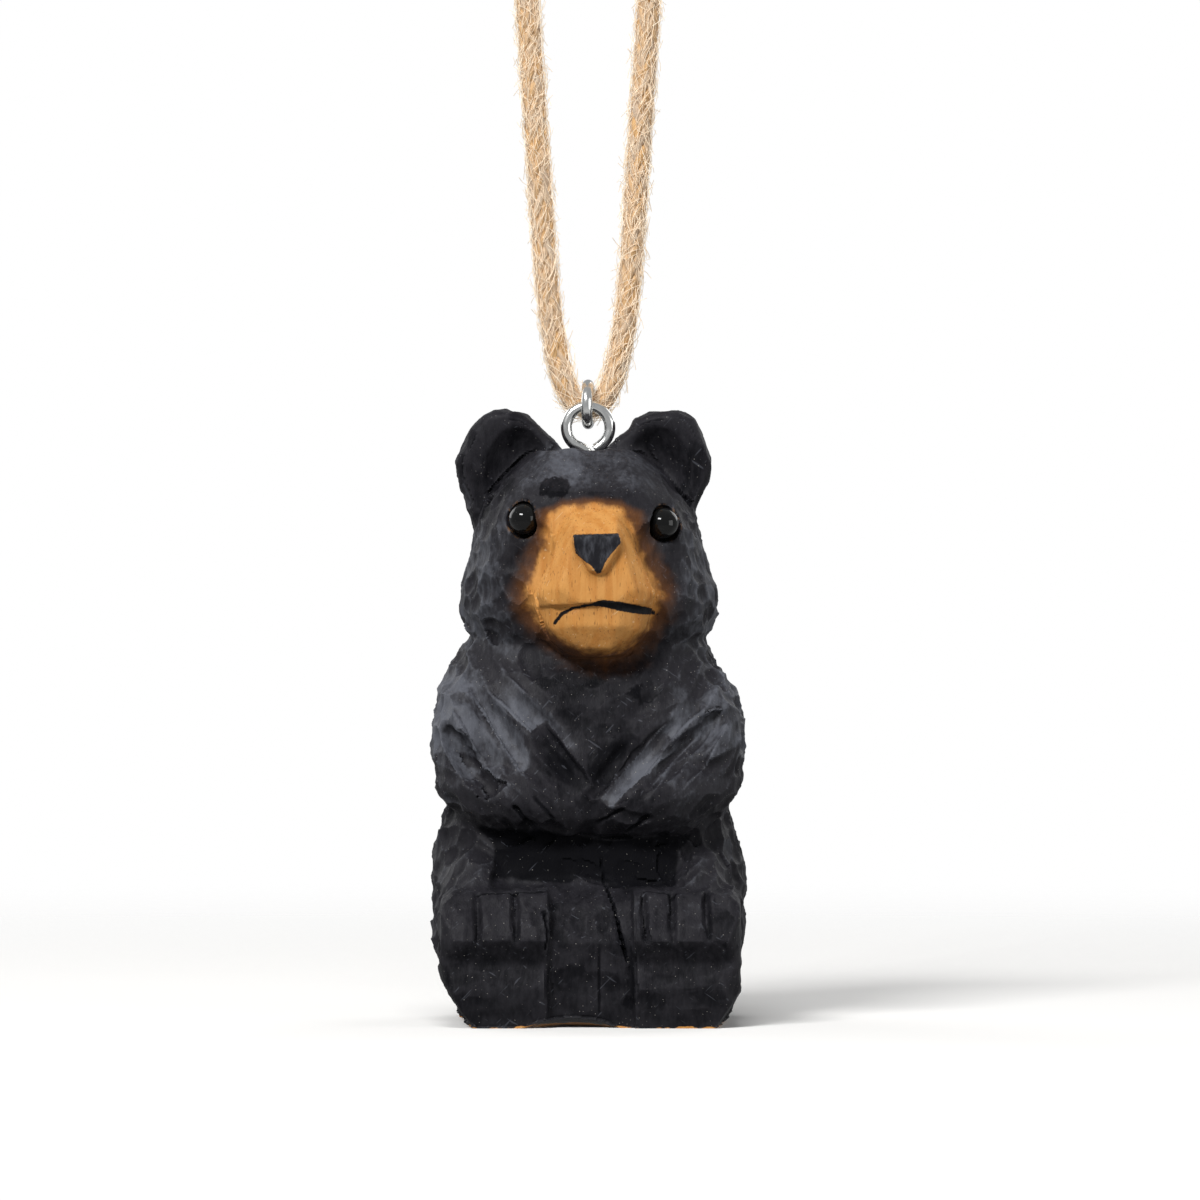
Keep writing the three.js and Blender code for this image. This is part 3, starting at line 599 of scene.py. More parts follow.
def carved_wood_material(settings):
    """Carved basswood, sprayed with black stain that thins on the ridges and fades out round the muzzle."""
    look = Look("stained_basswood", noise_roughness=0.55)
    noise, ramp, mix, calc, read = look.noise, look.ramp, look.mix, look.calc, look.read

    def sway(value, reach, low=0.3, high=0.7, smooth=False):
        """Noise as a shift to either side of 0."""
        return ramp(value, low, high, -reach, reach, smooth)

    patchy = noise(2.4)  # the stain lies unevenly over a few millimetres
    brushed = noise(0.5, 4.0, (1, 1, 0.35))  # the tool's drag, drawn coarse so that it shows
    grain = noise(0.9, 3.0, (1, 1, 0.07))  # annual rings and fibres run up the blank
    pores = noise(0.16, 1.0, (1, 1, 0.16))  # vessels, short dark dashes in the bare wood
    cells = look.node("TexVoronoi", {"Vector": look.place, "Scale": 1 / (0.45 * MM)}).outputs
    bright = look.out("SeparateColor", {0: cells["Color"]})
    # Pale dust and pinholes in the spray, about 0.1 mm across.
    specks = calc("MULTIPLY", ramp(cells["Distance"], 0.12, 0.06), calc("POWER", bright, 2.0))
    # Scratches and raised slivers a few millimetres long, slanting both ways.
    nicks = calc(
        "MAXIMUM", ramp(noise(0.3, 1.0, (1, 1, 0.06), 0.75), 0.7, 0.77),
        ramp(noise(0.34, 1.0, (1, 1, 0.08), -0.95), 0.71, 0.78),
    )

    # Bare wood: honey coloured, with darker streaks and pores, browner on the chin, which is partly painted
    # shade where it turns under.
    wood = mix(ramp(grain, 0.38, 0.68), settings.bare_wood, settings.wood_late)
    wood = mix(calc("MULTIPLY", ramp(pores, 0.64, 0.72), 0.6), wood, settings.haze)
    height = look.out("SeparateXYZ", {0: look.place}, 2)
    wood = mix(ramp(height, 47.5 * MM, 42.5 * MM, 0.0, 0.1), wood, settings.haze)
    wood = mix(calc("MULTIPLY", nicks, 0.35), wood, SLIVERS)

    # Stain: thick in hollows and on the brow's dab, thin on ridges and planed cuts. The tone read here also
    # holds painted light and shade: lighter where parts face the light, darker in recesses and low down.
    dab = ramp(calc("ADD", read("brow"), sway(brushed, 0.1, smooth=True)), 0.15, -0.15, 0.0, -0.95)
    ridges = calc("MULTIPLY", read("ridge"), 0.24)
    wear_and_painted_light = calc("ADD", read("tone"), ridges, sway(patchy, 0.22), sway(brushed, 0.2), dab)
    stained = mix(ramp(wear_and_painted_light, 0.05, -0.9), settings.stain, settings.stain_thick_and_shaded)
    stained = mix(ramp(wear_and_painted_light, 0.12, 1.25), stained, settings.stain_worn_and_lit)
    stained = mix(calc("MULTIPLY", nicks, 0.4), stained, settings.stain_worn_and_lit)
    stained = mix(specks, stained, DUST)

    # The spray's edge wanders by about half a millimetre, and a brown haze lies outside it. On the flanks
    # beside the bridge the haze is also painted shade.
    edge = calc("ADD", read("muzzle"), sway(noise(1.4, 5.0), 0.45))
    haze_and_flank_shade = calc("MULTIPLY", calc("POWER", ramp(edge, -3.2, -0.2), 1.7), 0.95)
    body = mix(haze_and_flank_shade, stained, settings.haze)
    body = mix(ramp(edge, -0.75, 0.5), body, wood)
    rim = calc("MULTIPLY", ramp(read("socket"), 0.45, 0.0), ramp(brushed, 0.5, 0.62), 0.22)
    body = mix(rim, body, settings.bare_wood)

    # Paint on nose and mouth has a crisp edge, dry-brushed a little.
    paint = mix(ramp(brushed, 0.4, 0.8, 0.0, 0.6), settings.nose_paint, settings.stain_worn_and_lit)
    ragged = sway(noise(0.35), 0.05)
    body = mix(ramp(calc("ADD", read("nose"), ragged), 0.05, -0.05), body, paint)
    body = mix(ramp(calc("ADD", read("mouth"), ragged), 0.06, -0.06), body, settings.stain_thick_and_shaded)

    # The sawn base and its rubbed edge are bare.
    rubbed = calc("ADD", read("base"), ramp(noise(2.2), 0.35, 0.65, -0.55, 0.3, smooth=False))
    body = mix(ramp(rubbed, 0.42, 0.58), body, wood)

    fuzz = noise(0.16, 2.0, (1, 1, 0.4))  # raised fibres
    fine = calc("ADD", calc("MULTIPLY", brushed, 0.6), calc("MULTIPLY", fuzz, 0.4))
    fill(look.shader, {
        "Base Color": body,
        "Roughness": ramp(patchy, 0.3, 0.7, 0.5, 0.68, smooth=False),
        "Normal": look.bump(fine, 0.7, 0.16),
        "Specular IOR Level": ramp(wear_and_painted_light, -1.2, 0.9, 0.03, 0.24),
    })
    return look.material


# ---- The carving ----

class Carving:
    """The bear's skin as arrays, in millimetres, cut a stroke at a time. The deepest cut is what shows."""

    def __init__(self, mesh):
        self.points = read_array(mesh.vertices, "co", 3) / MM
        self.edges = read_array(mesh.edges, "vertices", 2, int)
        self.joins = np.bincount(self.edges.ravel(), minlength=len(self.points))[:, None]
        self.normals = unit(self.averaged(read_array(mesh.vertex_normals, "vector", 3), 5))
        self.depth = np.zeros(len(self.points))
        self.tone = np.zeros(len(self.points))
        self.near = finder(self.points)

    def averaged(self, values, rounds):
        """Values blended with those next to them along the mesh's edges."""
        a, b = self.edges.T
        for _ in range(rounds):
            total = np.zeros_like(values)
            for i in range(values.shape[1]):
                for here, there in ((a, b), (b, a)):
                    total[:, i] += np.bincount(here, values[there, i], len(values))
            values = (values + total) / (1 + self.joins)
        return values

    def around(self, centre, reach):
        return np.array([i for _, i, _ in self.near.find_range(centre, reach)], int)

    def stroke(self, centre, normal, flow, half_length, half_width, depth, tilt, lean, tone):
        """One scooped cut. It returns the places that it covers well, where no other cut needs to start."""
        flow = flow - normal * (flow @ normal)
        flow /= max(np.linalg.norm(flow), 1e-6)
        found = self.around(centre, half_length)
        offset = self.points[found] - centre
        u = offset @ flow / half_length
        v = offset @ np.cross(normal, flow) / half_width
        agrees = self.normals[found] @ normal > SAME_SIDE
        bite = np.where(agrees, depth * (1 - u**2 - v**2 + tilt * u + lean * v), 0)
        deeper = bite > self.depth[found]
        self.depth[found[deeper]] = bite[deeper]
        self.tone[found[deeper]] = tone
        return found[agrees & (u**2 + v**2 < SPACING**2)]

    def knife(self, skin, start, end, width, depth, section, tone):
        """One placed cut: a vee, a scoop or a chip, whose steep side changes over for a width below 0."""
        a, b = (front_of(skin, *spot) for spot in (start, end))
        centre = (a + b) / 2
        half_length = np.linalg.norm(b - a) / 2
        flow = (b - a) / (2 * half_length)
        normal = sum(self.normals[self.near.find(spot)[1]] for spot in (a, centre, b))
        normal = unit(normal - flow * (normal @ flow))
        found = self.around(centre, half_length + abs(width))
        offset = self.points[found] - centre
        near = (np.abs(offset @ normal) < KNIFE_REACH) & (self.normals[found] @ normal > 0.2)
        found, offset = found[near], offset[near]
        u = offset @ flow / half_length
        v = offset @ np.cross(normal, flow) / (width / 2)
        # The tone a cut leaves is painted light: a sheen on a light cut, shade in a dark one.
        if section == "vee":
            shape = np.clip(1 - np.abs(v), 0, 1) * np.clip((1 - np.abs(u)) * 2.5, 0, 1)
            self.depth[found] += depth * shape
            # The groove's dark tone is painted shadow.
            self.tone[found[shape > 0.15]] = tone
            return
        shape = 1 - u**4 - v**2
        if section == "chip":
            slope = np.where(v < STEEP_FROM, (v + 1) / (STEEP_FROM + 1), (1 - v) / (1 - STEEP_FROM))
            shape = np.clip(1 - u**4, 0, 1) * np.clip(slope, 0, 1)
            # A chip's tone fades towards its ends and is strongest on its steep side, as painted light.
            tone = tone * (1 - soft_step(u, 0.1, 0.95)) * (0.7 + 0.3 * np.clip(v, -1, 1))
        # The cut is planed flat: it takes up the level round it before it goes deeper.
        weight = soft_step(shape, 0, 0.3)
        level = 0.85 * np.average(self.depth[found], weights=weight + 1e-6)
        self.depth[found] += weight * (level + depth * shape - self.depth[found])
        self.tone[found] += soft_step(shape, 0, 0.08) * (tone - self.tone[found])


def front_of(skin, x, z):
    """Where a line from the front first meets the bear."""
    hit = skin.ray_cast(Vector((x, -60, z)), Vector((0, 1, 0)))[0]
    return np.array(hit if hit is not None else (x, -12.0, z))


def zone_of(point, normal):
    for low, high, facing, *cut in ZONES:
        inside = all(low[i] <= point[i] <= high[i] for i in range(3))
        if inside and (facing == EVERYWHERE or normal @ np.array(facing) > 0.5):
            return cut
    return ZONES[-1][3:]


def cover_with_strokes(carving, settings):
    """Cuts the whole skin, each new cut starting where none lies yet."""
    chance = np.random.default_rng(SEED)
    open_places = np.ones(len(carving.points), bool)
    for i in chance.permutation(len(carving.points)):
        if not open_places[i]:
            continue
        point, normal = carving.points[i], carving.normals[i]
        flow, half_length, half_width, depth = zone_of(point, normal)
        if flow is None:
            flow = np.array([0.0, -12.0, 19.0]) - point
        flow = unit(np.array(flow, float)) + 0.22 * chance.normal(size=3)
        size = settings.tool * chance.uniform(0.75, 1.3, 2)
        bite = settings.bite * depth * chance.uniform(0.6, 1.35)
        covered = carving.stroke(
            point, normal, flow, half_length * size[0], half_width * size[1], bite,
            chance.uniform(0.1, 0.7), 0.35 * chance.normal(), 0.15 * chance.normal(),
        )
        open_places[covered] = False
        open_places[i] = False


def distance_to_line(x, z, line):
    """Distance from places to a line of (x, z, half thickness), less the half thickness there."""
    best = np.full(len(x), 1e3)
    for (ax, az, ah), (bx, bz, bh) in zip(line, line[1:]):
        run = np.array([bx - ax, bz - az])
        share = np.clip(((x - ax) * run[0] + (z - az) * run[1]) / (run @ run), 0, 1)
        away = np.hypot(x - ax - share * run[0], z - az - share * run[1])
        best = np.minimum(best, away - (ah + share * (bh - ah)))
    return best


def distance_to_outline(x, z, outline):
    """Distance from places to an outline, below 0 inside it."""
    closed = [(*p, 0.0) for p in outline + outline[:1]]
    away = distance_to_line(x, z, closed)
    inside = np.zeros(len(x), bool)
    for (ax, az, _), (bx, bz, _) in zip(closed, closed[1:]):
        crosses = (az > z) != (bz > z)
        where = ax + (z - az) * (bx - ax) / (bz - az if bz != az else 1e-9)
        inside ^= crosses & (x < where)
    return np.where(inside, -away, away)


def soft_step(value, low, high):
    share = np.clip((value - low) / (high - low), 0, 1)
    return share * share * (3 - 2 * share)


def copy_of_node(node, name):
    """A copy of a CAD node's mesh, its loose triangles merged."""
    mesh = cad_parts[node].data.copy()
    mesh.name = name
    mesh.materials.clear()
    work = bmesh.new()
    work.from_mesh(mesh)
    bmesh.ops.remove_doubles(work, verts=work.verts, dist=0.001 * MM)
    work.to_mesh(mesh)
    work.free()
    for layer in [a.name for a in mesh.attributes if not a.is_internal and not a.is_required]:
        mesh.attributes.remove(mesh.attributes[layer])
    return linked(bpy.data.objects.new(name, mesh))


def paint_skin(mesh, carving, eyes):
    """Writes what the wood's material reads: distances to painted edges, and a tone for how the stain lies
    and for painted light and shade.
    """
    place = read_array(mesh.vertices, "co", 3) / MM
    facing = read_array(mesh.vertex_normals, "vector", 3)
    x, y, z = place.T
    forward = y < FACE_FRONT
    front = forward & (facing[:, 1] < 0.35)
    nearest = np.array([carving.near.find(p)[1] for p in place], int)
    tone = carving.tone[nearest]
    for outline, value, soft in STAIN_AND_SHADE_PATCHES:
        inside = soft_step(distance_to_outline(x, z, outline), soft, -soft)
        tone += np.where(facing[:, 1] < 0.1, value * inside, 0)
    # The haze reaches less far over the brow, and further down the throat and in beside the bridge, where it
    # is also painted shade on the flanks.
    reach = 1 + 1.2 * soft_step(z, 58.4, 59.8) - 0.25 * soft_step(z, 43.5, 40)
    muzzle = np.where(forward, -distance_to_outline(x, z, MUZZLE_EDGE), -NOWHERE) * reach
    for (corner_x, corner_z), share, spread in HAZY_CORNERS:
        muzzle += share * np.exp(-(np.hypot(x - corner_x, z - corner_z) ** 2) / spread)
    values = {
        "muzzle": muzzle,
        "nose": np.where(front, distance_to_outline(x, z, NOSE_EDGE), NOWHERE),
        "mouth": np.where(front, distance_to_line(x, z, MOUTH_LINE), NOWHERE),
        "brow": np.where(front, distance_to_outline(x, z, BROW_DAB), NOWHERE),
        "tone": tone,
        "ridge": carving.ridge[nearest],
        "socket": np.min([np.linalg.norm(place - eye, axis=1) - radius for eye, radius in eyes], axis=0),
        "base": np.maximum(0.85 * soft_step(z, 0.5, 0.0), 0.8 * ((facing[:, 2] < -0.9) & (z < 0.4))),
    }
    for name, value in values.items():
        write_layer(mesh, name, value)


def carve_bear(settings, material):
    thing = copy_of_node("bear", "bear_carving")
    remesh = thing.modifiers.new("even skin", "REMESH")
    remesh.mode = "VOXEL"
    remesh.voxel_size = settings.grain_of_mesh
    evaluated_mesh(thing, "bear_carving")

    carving = Carving(thing.data)
    points = carving.points
    snout = points[:, 1] < SNOUT_FRONT
    for i, (middle, half) in SNOUT_BOX.items():
        snout &= np.abs(points[:, i] - middle) < half
    soften = np.where(points[:, 2] < 0.6, 0.12, np.where(snout, 0.4, 1.0))[:, None]
    carving.points = points + soften * (carving.averaged(points, 4) - points)
    faces = [tuple(p.vertices) for p in thing.data.polygons]
    skin = BVHTree.FromPolygons([Vector(p) for p in carving.points], faces)
    cover_with_strokes(carving, settings)
    for cut in CUTS:
        carving.knife(skin, *cut)

    eyes = []
    for node in EYES:
        low, high = box_of(node)
        eyes.append(((low + high) / 2, (high - low)[0] / 2))
    for centre, radius in eyes:
        # The wood closes over the sides of the bead.
        x, _, z = (carving.points - centre).T
        away = np.maximum(np.hypot(x, z), 0.1)
        beside = (carving.points[:, 1] < FACE_FRONT + 1) & (away < 2 * radius)
        lip = 0.5 * (x / away) ** 2 * np.exp(-(((away - radius) / 0.55) ** 2))
        carving.depth -= np.where(beside, lip, 0)

    base = (carving.normals[:, 2] < -0.7) & (carving.points[:, 2] < 2.5)
    carving.depth[base] = 0
    # The cuts are taken from a skin that is fuller by about what they take off.
    usual = carving.averaged(carving.depth[:, None], 40)[:, 0]
    swell = np.where(snout | base, 0.03, np.clip(usual - 0.1, 0, 0.6))
    cut = carving.points + carving.normals * (swell - carving.depth)[:, None]
    cut[:, 2] = np.maximum(cut[:, 2], 0)
    bend = np.einsum("ij,ij->i", cut - carving.averaged(cut, 2), carving.normals)
    carving.ridge = np.clip(bend / 0.05, -1.5, 1.5)

    thing.data.vertices.foreach_set("co", (cut * MM).astype(np.float32).ravel())
    thing.data.update()
    # The snout keeps its fine mesh, for the crisp edges painted on it.
    coarser = thing.vertex_groups.new(name="may be thinned")
    coarser.add(np.flatnonzero(~snout).tolist(), 1.0, "REPLACE")
    thin = thing.modifiers.new("thin out", "DECIMATE")
    thin.ratio = min(1.0, settings.most_triangles / sum(len(face) - 2 for face in faces))
    thin.vertex_group = coarser.name
    evaluated_mesh(thing, "bear_carving")
    thing.vertex_groups.clear()
    # The nearest place on the full mesh tells each point which cut it lies in.
    carving.near = finder(cut)
    paint_skin(thing.data, carving, eyes)
    thing.data.materials.append(material)
    thing.data.shade_smooth()
    thing.data.set_sharp_from_angle(angle=SHARP_ANGLE)
    return thing


# ---- The cord ----

def loop_route(step):
    """The cord's middle line: from its fold up the right leg, through the knot and down the left leg."""
    right = [(x, CORD_BACK, z) for x, z in HALF_LOOP]
    left = [(-x, CORD_BACK, z) for x, z in reversed(HALF_LOOP)]
    return smooth_line([*right, (0, CORD_BACK, KNOT_HEIGHT), *left], step)


def braid_tree():
    """Geometry nodes that plait yarns round a line: two over, two under."""
    grow = Growth("braid", {
        "Strands": "Int", "Radius": "Float", "Pitch": "Float", "Wave": "Float", "Yarn width": "Float",
        "Yarn height": "Float",
    })
    given, out, calc = grow.given, grow.out, grow.calc
    twice = calc("MULTIPLY", given["Strands"], 2.0)
    copies = grow.node("DuplicateElements", {"Geometry": grow.line, "Amount": twice}, domain="SPLINE").outputs
    index = copies[1]
    squeeze = out("InputNamedAttribute", {"Name": "squeeze"}, "Attribute", data_type="FLOAT")
    run = out("SplineParameter", output="Length")
    side = out("InputNormal")
    other = out("ShaderNodeVectorMath", {0: out("InputTangent"), 1: side}, operation="CROSS_PRODUCT")

    number = calc("MODULO", index, given["Strands"])
    backwards = calc("GREATER_THAN", calc("ADD", index, 0.5), given["Strands"])
    hand = calc("SUBTRACT", 1.0, calc("MULTIPLY", backwards, 2.0))
    turned = calc("MULTIPLY", calc("DIVIDE", run, given["Pitch"]), TURN)
    start = calc("MULTIPLY", calc("DIVIDE", number, given["Strands"]), TURN)
    angle = calc("ADD", calc("MULTIPLY", hand, turned), start)
    # Yarn i one way crosses yarn j the other way over it where (i + j) mod 4 is 0 or 1.
    crossing = calc("MULTIPLY", turned, given["Strands"], 0.5)
    met = calc("ADD", calc("MULTIPLY", number, math.pi), calc("MULTIPLY", crossing, hand))
    wave = calc("MULTIPLY", calc("COSINE", calc("SUBTRACT", met, 0.785)), hand, given["Wave"])
    reach = calc("MULTIPLY", calc("ADD", given["Radius"], wave), squeeze)
    outward = out("ShaderNodeVectorMath", {
        0: grow.scaled(side, calc("COSINE", angle)), 1: grow.scaled(other, calc("SINE", angle)),
    })
    kept = grow.captured(copies[0], outward=("VECTOR", outward), reach=("FLOAT", reach), run=("FLOAT", run))
    moved = out("SetPosition", {"Geometry": kept[0], "Offset": grow.scaled(kept["outward"], kept["reach"])})
    line = out("SetCurveNormal", {"Curve": moved, "Normal": kept["outward"]}, mode="FREE")
    line = grow.stored(grow.stored(line, "along", kept["run"]), "strand", index)

    section = grow.stored(grow.circle(6, 0.5), "around", out("SplineParameter", output="Factor"))
    size = out("ShaderNodeCombineXYZ", {0: given["Yarn height"], 1: given["Yarn width"], 2: 1.0})
    section = out("Transform", {"Geometry": section, "Scale": size})
    yarn = out("CurveToMesh", {"Curve": line, "Profile Curve": section, "Fill Caps": True})
    return grow.finish(out("SetShadeSmooth", {"Geometry": yarn}))


def fibre_tree():
    """Geometry nodes that scatter loose fibres over a cord, most of them lying along it."""
    numbers = ("Radius", "Density", "Fibre length", "Fibre thickness", "Spread")
    grow = Growth("loose fibres", {name: "Float" for name in numbers})
    given, out = grow.given, grow.out
    kept = grow.captured(grow.line, along=("VECTOR", out("InputTangent")))
    tube_round = out("CurveToMesh", {"Curve": kept[0], "Profile Curve": grow.circle(10, given["Radius"])})
    spots = grow.node(
        "DistributePointsOnFaces", {"Mesh": tube_round, "Density": given["Density"], "Seed": SEED}
    ).outputs
    bent = out("CurveQuadraticBezier", {
        "Resolution": 4, "Start": (0, 0, -0.5), "Middle": (0.12, 0.2, 0.0), "End": (-0.08, -0.1, 0.5),
    })
    size = out("ShaderNodeCombineXYZ", {i: given["Fibre length"] for i in range(3)})
    hair = out("CurveToMesh", {
        "Curve": out("Transform", {"Geometry": bent, "Scale": size}),
        "Profile Curve": grow.circle(3, given["Fibre thickness"]), "Fill Caps": True,
    })
    limits = {0: (-1, -1, -1), 1: (1, 1, 1), "Seed": SEED}
    stray = out("FunctionNodeRandomValue", limits, data_type="FLOAT_VECTOR")
    way = out("ShaderNodeVectorMath", {0: kept["along"], 1: grow.scaled(stray, given["Spread"])})
    turn = out("FunctionNodeAlignRotationToVector", {"Vector": way}, axis="Z")
    inputs = {"Rotation": turn, "Vector": spots["Normal"]}
    turn = out("FunctionNodeAlignRotationToVector", inputs, axis="Y", pivot_axis="Z")
    size = out("FunctionNodeRandomValue", {2: 0.35, 3: 1.3, "Seed": SEED + 1}, 1, data_type="FLOAT")
    return grow.finish(out("InstanceOnPoints", {
        "Points": spots[0], "Instance": hair, "Rotation": turn, "Scale": size,
    }))


def grown(name, lines, tree, inputs, squeezes=None):
    """A piece made by a node tree from one or more lines, as a plain mesh."""
    points, edges = [], []
    for line in lines:
        edges.extend((i, i + 1) for i in range(len(points), len(points) + len(line) - 1))
        points.extend(line)
    thing = mesh_object(name, points, [], None, edges)
    write_layer(thing.data, "squeeze", np.ones(len(points)) if squeezes is None else squeezes)
    grow = thing.modifiers.new("grow", "NODES")
    grow.node_group = tree
    for socket, value in inputs.items():
        grow[tree.interface.items_tree[socket].identifier] = value
    return evaluated_mesh(thing, name)


def braided(name, lines, settings, material, squeezes=None):
    radius = settings.diameter / 2
    return grown(name, lines, braid_tree(), {
        "Strands": settings.strands, "Radius": radius * 0.78, "Pitch": settings.pitch, "Wave": radius * 0.07,
        "Yarn width": radius * 0.66, "Yarn height": radius * 0.3, "Material": material,
    }, squeezes)


def tied_knot(diameter):
    """The middle lines of two cords pulled tight in one overhand knot, from below it to the tails' ends.

    Beads on each line are pulled along, kept a step apart, and pushed out of each other.
    """
    step = diameter * 0.45
    way = smooth_line(LOOSE_KNOT, step)
    _, sides = carried_along(way, np.array([1.0, 0, 0]))
    beads = np.array([way - sides * diameter / 2, way + sides * diameter / 2])
    lines, count, _ = beads.shape
    line = np.repeat(np.arange(lines), count)
    place = np.tile(np.arange(count), lines)
    free = (np.abs(place[:, None] - place) > 3) | (line[:, None] != line)
    apart = diameter * 0.88  # soft cord gives a little where it is pressed
    for _ in range(420):
        beads[:, 0, 2] -= KNOT_PULL
        beads[:, -1, 2] += KNOT_PULL
        for _ in range(6):
            run = beads[:, 1:] - beads[:, :-1]
            shift = run * (1 - step / np.linalg.norm(run, axis=2, keepdims=True)) * 0.5
            beads[:, :-1] += shift
            beads[:, 1:] -= shift
        middle = (beads[:, :-2] + beads[:, 2:]) / 2
        beads[:, 1:-1] += KNOT_STIFFNESS * (middle - beads[:, 1:-1])
        for _ in range(3):
            flat = beads.reshape(-1, 3)
            offset = flat[:, None] - flat[None, :]
            size = np.linalg.norm(offset, axis=2)
            over = np.where(free & (size < apart), (apart - size) / np.maximum(size, 1e-6), 0)
            beads = (flat + 0.25 * (offset * over[:, :, None]).sum(1)).reshape(lines, count, 3)
    return beads


# ---- Operators ----

class BEAR_OT_stage(bpy.types.Operator):
    """Sets up the camera, the pale floor and the soft lights"""

    bl_idname = "bear.stage"
    bl_label = "Stage"

    def execute(self, context):
        settings = context.scene.bear_stage
        lens, sensor = 300.0, 36.0
        aim = Vector((1.36, -9.0, 48.2)) * MM
        distance = settings.view_width * lens / sensor
        tilt = math.radians(1.0)
        camera = linked(bpy.data.objects.new("camera", bpy.data.cameras.new("camera")))
        camera.data.lens = lens
        camera.data.sensor_width = sensor
        camera.data.clip_end = 100
        camera.location = aim + distance * Vector((0, -math.cos(tilt), math.sin(tilt)))
        camera.rotation_euler = (math.pi / 2 - tilt, 0, 0)
        context.scene.camera = camera

        reach = 40.0 / MM  # far enough that its edge is the horizon
        corners = [(-reach, -reach, 0), (reach, -reach, 0), (reach, reach, 0), (-reach, reach, 0)]
        mesh_object("floor", corners, [(0, 1, 2, 3)], floor_material(settings))

        behind = settings.fill * 0.8
        for name, place, size, power in [
            ("top", (-0.06, -0.46, 0.93), 0.36, settings.top),
            ("key", (-0.46, -0.84, 0.72), 0.42, settings.key),
            ("fill", (0.95, -0.5, 0.12), 0.6, settings.fill),
            ("behind left", (-0.7, 0.6, 0.4), 0.6, behind),
            ("behind right", (0.65, 0.7, 0.5), 0.6, behind),
        ]:
            light = bpy.data.lights.new(name, "AREA")
            light.energy = power
            light.size = size
            if name == "key":
                light.shape, light.size_y = "RECTANGLE", 0.5 * size
            lamp = linked(bpy.data.objects.new(name, light))
            lamp.location = place
            lamp.rotation_euler = (Vector((0, 0, 0.05)) - Vector(place)).to_track_quat("-Z", "Y").to_euler()
            # Each bead shows one bright glint, the key's.
            lamp.visible_glossy = name != "top"

        # The camera sees a white room, which lights the bear less than it seems to and shines in the metal.
        world = bpy.data.worlds.new("studio")
        world.use_nodes = True
        nodes = Nodes(world.node_tree)
        rays = nodes.node("LightPath").outputs
        strength = nodes.out("MapRange", {"Value": rays["Is Glossy Ray"], "To Min": 0.12, "To Max": 0.38})
        room = nodes.out("Background", {"Color": (0.96, 0.98, 1, 1), "Strength": strength})
        white = nodes.out("Background", {"Color": (1, 1, 1, 1), "Strength": 1.0})
        both = nodes.out("MixShader", {0: rays["Is Camera Ray"], 1: room, 2: white})
        nodes.node("OutputWorld", {"Surface": both})
        context.scene.world = world
        context.scene.view_settings.view_transform = "Standard"
        return {"FINISHED"}


class BEAR_OT_cord(bpy.types.Operator):
    """Plaits the jute cord's loop, its knot and its loose fibres"""

    bl_idname = "bear.cord"
    bl_label = "Jute cord"

    def execute(self, context):
        settings = context.scene.bear_cord
        yarn = jute_material(settings)
        route = loop_route(CORD_STEP)
        run = run_along(route)
        squeeze = 1 - 0.2 * np.exp(-((np.minimum(run, run[-1] - run) / 2.2) ** 2))
        # The braid starts in the knot, and so it has no seam at the fold.
        half = len(route) // 2
        order = [*range(half, len(route)), *range(1, half)]
        order = [i for i in order if route[i, 2] < KNOT_HEIGHT - 2.5]
        shown = route[order]
        cord = braided("jute_cord", [shown], settings, yarn, squeeze[order])

        diameter = settings.diameter / MM
        pair = tied_knot(diameter)
        middle = pair[:, abs(pair[0, :, 2]) < 4 * diameter].reshape(-1, 3).mean(0)
        pair = pair + (np.array([0, CORD_BACK, KNOT_HEIGHT]) - [*middle[:2], 0])
        lines = []
        for beads in pair:
            above = beads[:, 2] - KNOT_HEIGHT
            lines.append(smooth_line(beads[(above > -6.5) & (above < 4.5 + TAIL)][::2], CORD_STEP))
        knot = braided("jute_knot", lines, settings, yarn)

        inputs = {
            "Radius": settings.diameter / 2 * 0.97, "Density": settings.fibres * 1e4,
            "Fibre length": 2.6 * MM, "Fibre thickness": 0.034 * MM, "Spread": 0.75,
            "Material": loose_fibre_material(settings),
        }
        fuzz = grown("cord_fuzz", [even_steps(shown, PATH_STEP)], fibre_tree(), inputs)
        knot_fuzz = grown("knot_fuzz", [even_steps(line, PATH_STEP) for line in lines], fibre_tree(), inputs)

        finish_piece(cord, "jute", "hanging_cord")
        finish_piece(knot, "jute", "cord_knot")
        finish_piece(fuzz, "jute")
        finish_piece(knot_fuzz, "jute")
        return {"FINISHED"}


class BEAR_OT_carving(bpy.types.Operator):
    """Carves and paints the bear"""

    bl_idname = "bear.carving"
    bl_label = "Bear"

    def execute(self, context):
        settings = context.scene.bear_carving
        bear = carve_bear(settings, carved_wood_material(settings))
        finish_piece(bear, "stained_wood", "bear")
        return {"FINISHED"}


class BEAR_OT_eyes(bpy.types.Operator):
    """Turns the two bead eyes"""

    bl_idname = "bear.eyes"
    bl_label = "Bead eyes"

    def execute(self, context):
        glass = bead_material()
        turns = TURN * np.arange(40) / 40
        for node in EYES:
            low, high = box_of(node)
            # A slack fit: the bead is a little smaller than its socket, and sits towards the bridge.
            middle, radius = (low + high) / 2, 0.46 * (high[0] - low[0])
            middle[0] -= math.copysign(0.1, middle[0])
            angles = np.linspace(0.02, math.pi - 0.25, 26)
            outline = np.array([*zip(np.sin(angles), -np.cos(angles)), (0.3, 0.99)]) * radius
            rings = [
                middle + np.column_stack([r * np.cos(turns), np.full(len(turns), y), r * np.sin(turns)])
                for r, y in outline
            ]
            finish_piece(tube(node.replace("eye", "bead_eye"), rings, glass), "bead_glass", node)
        return {"FINISHED"}


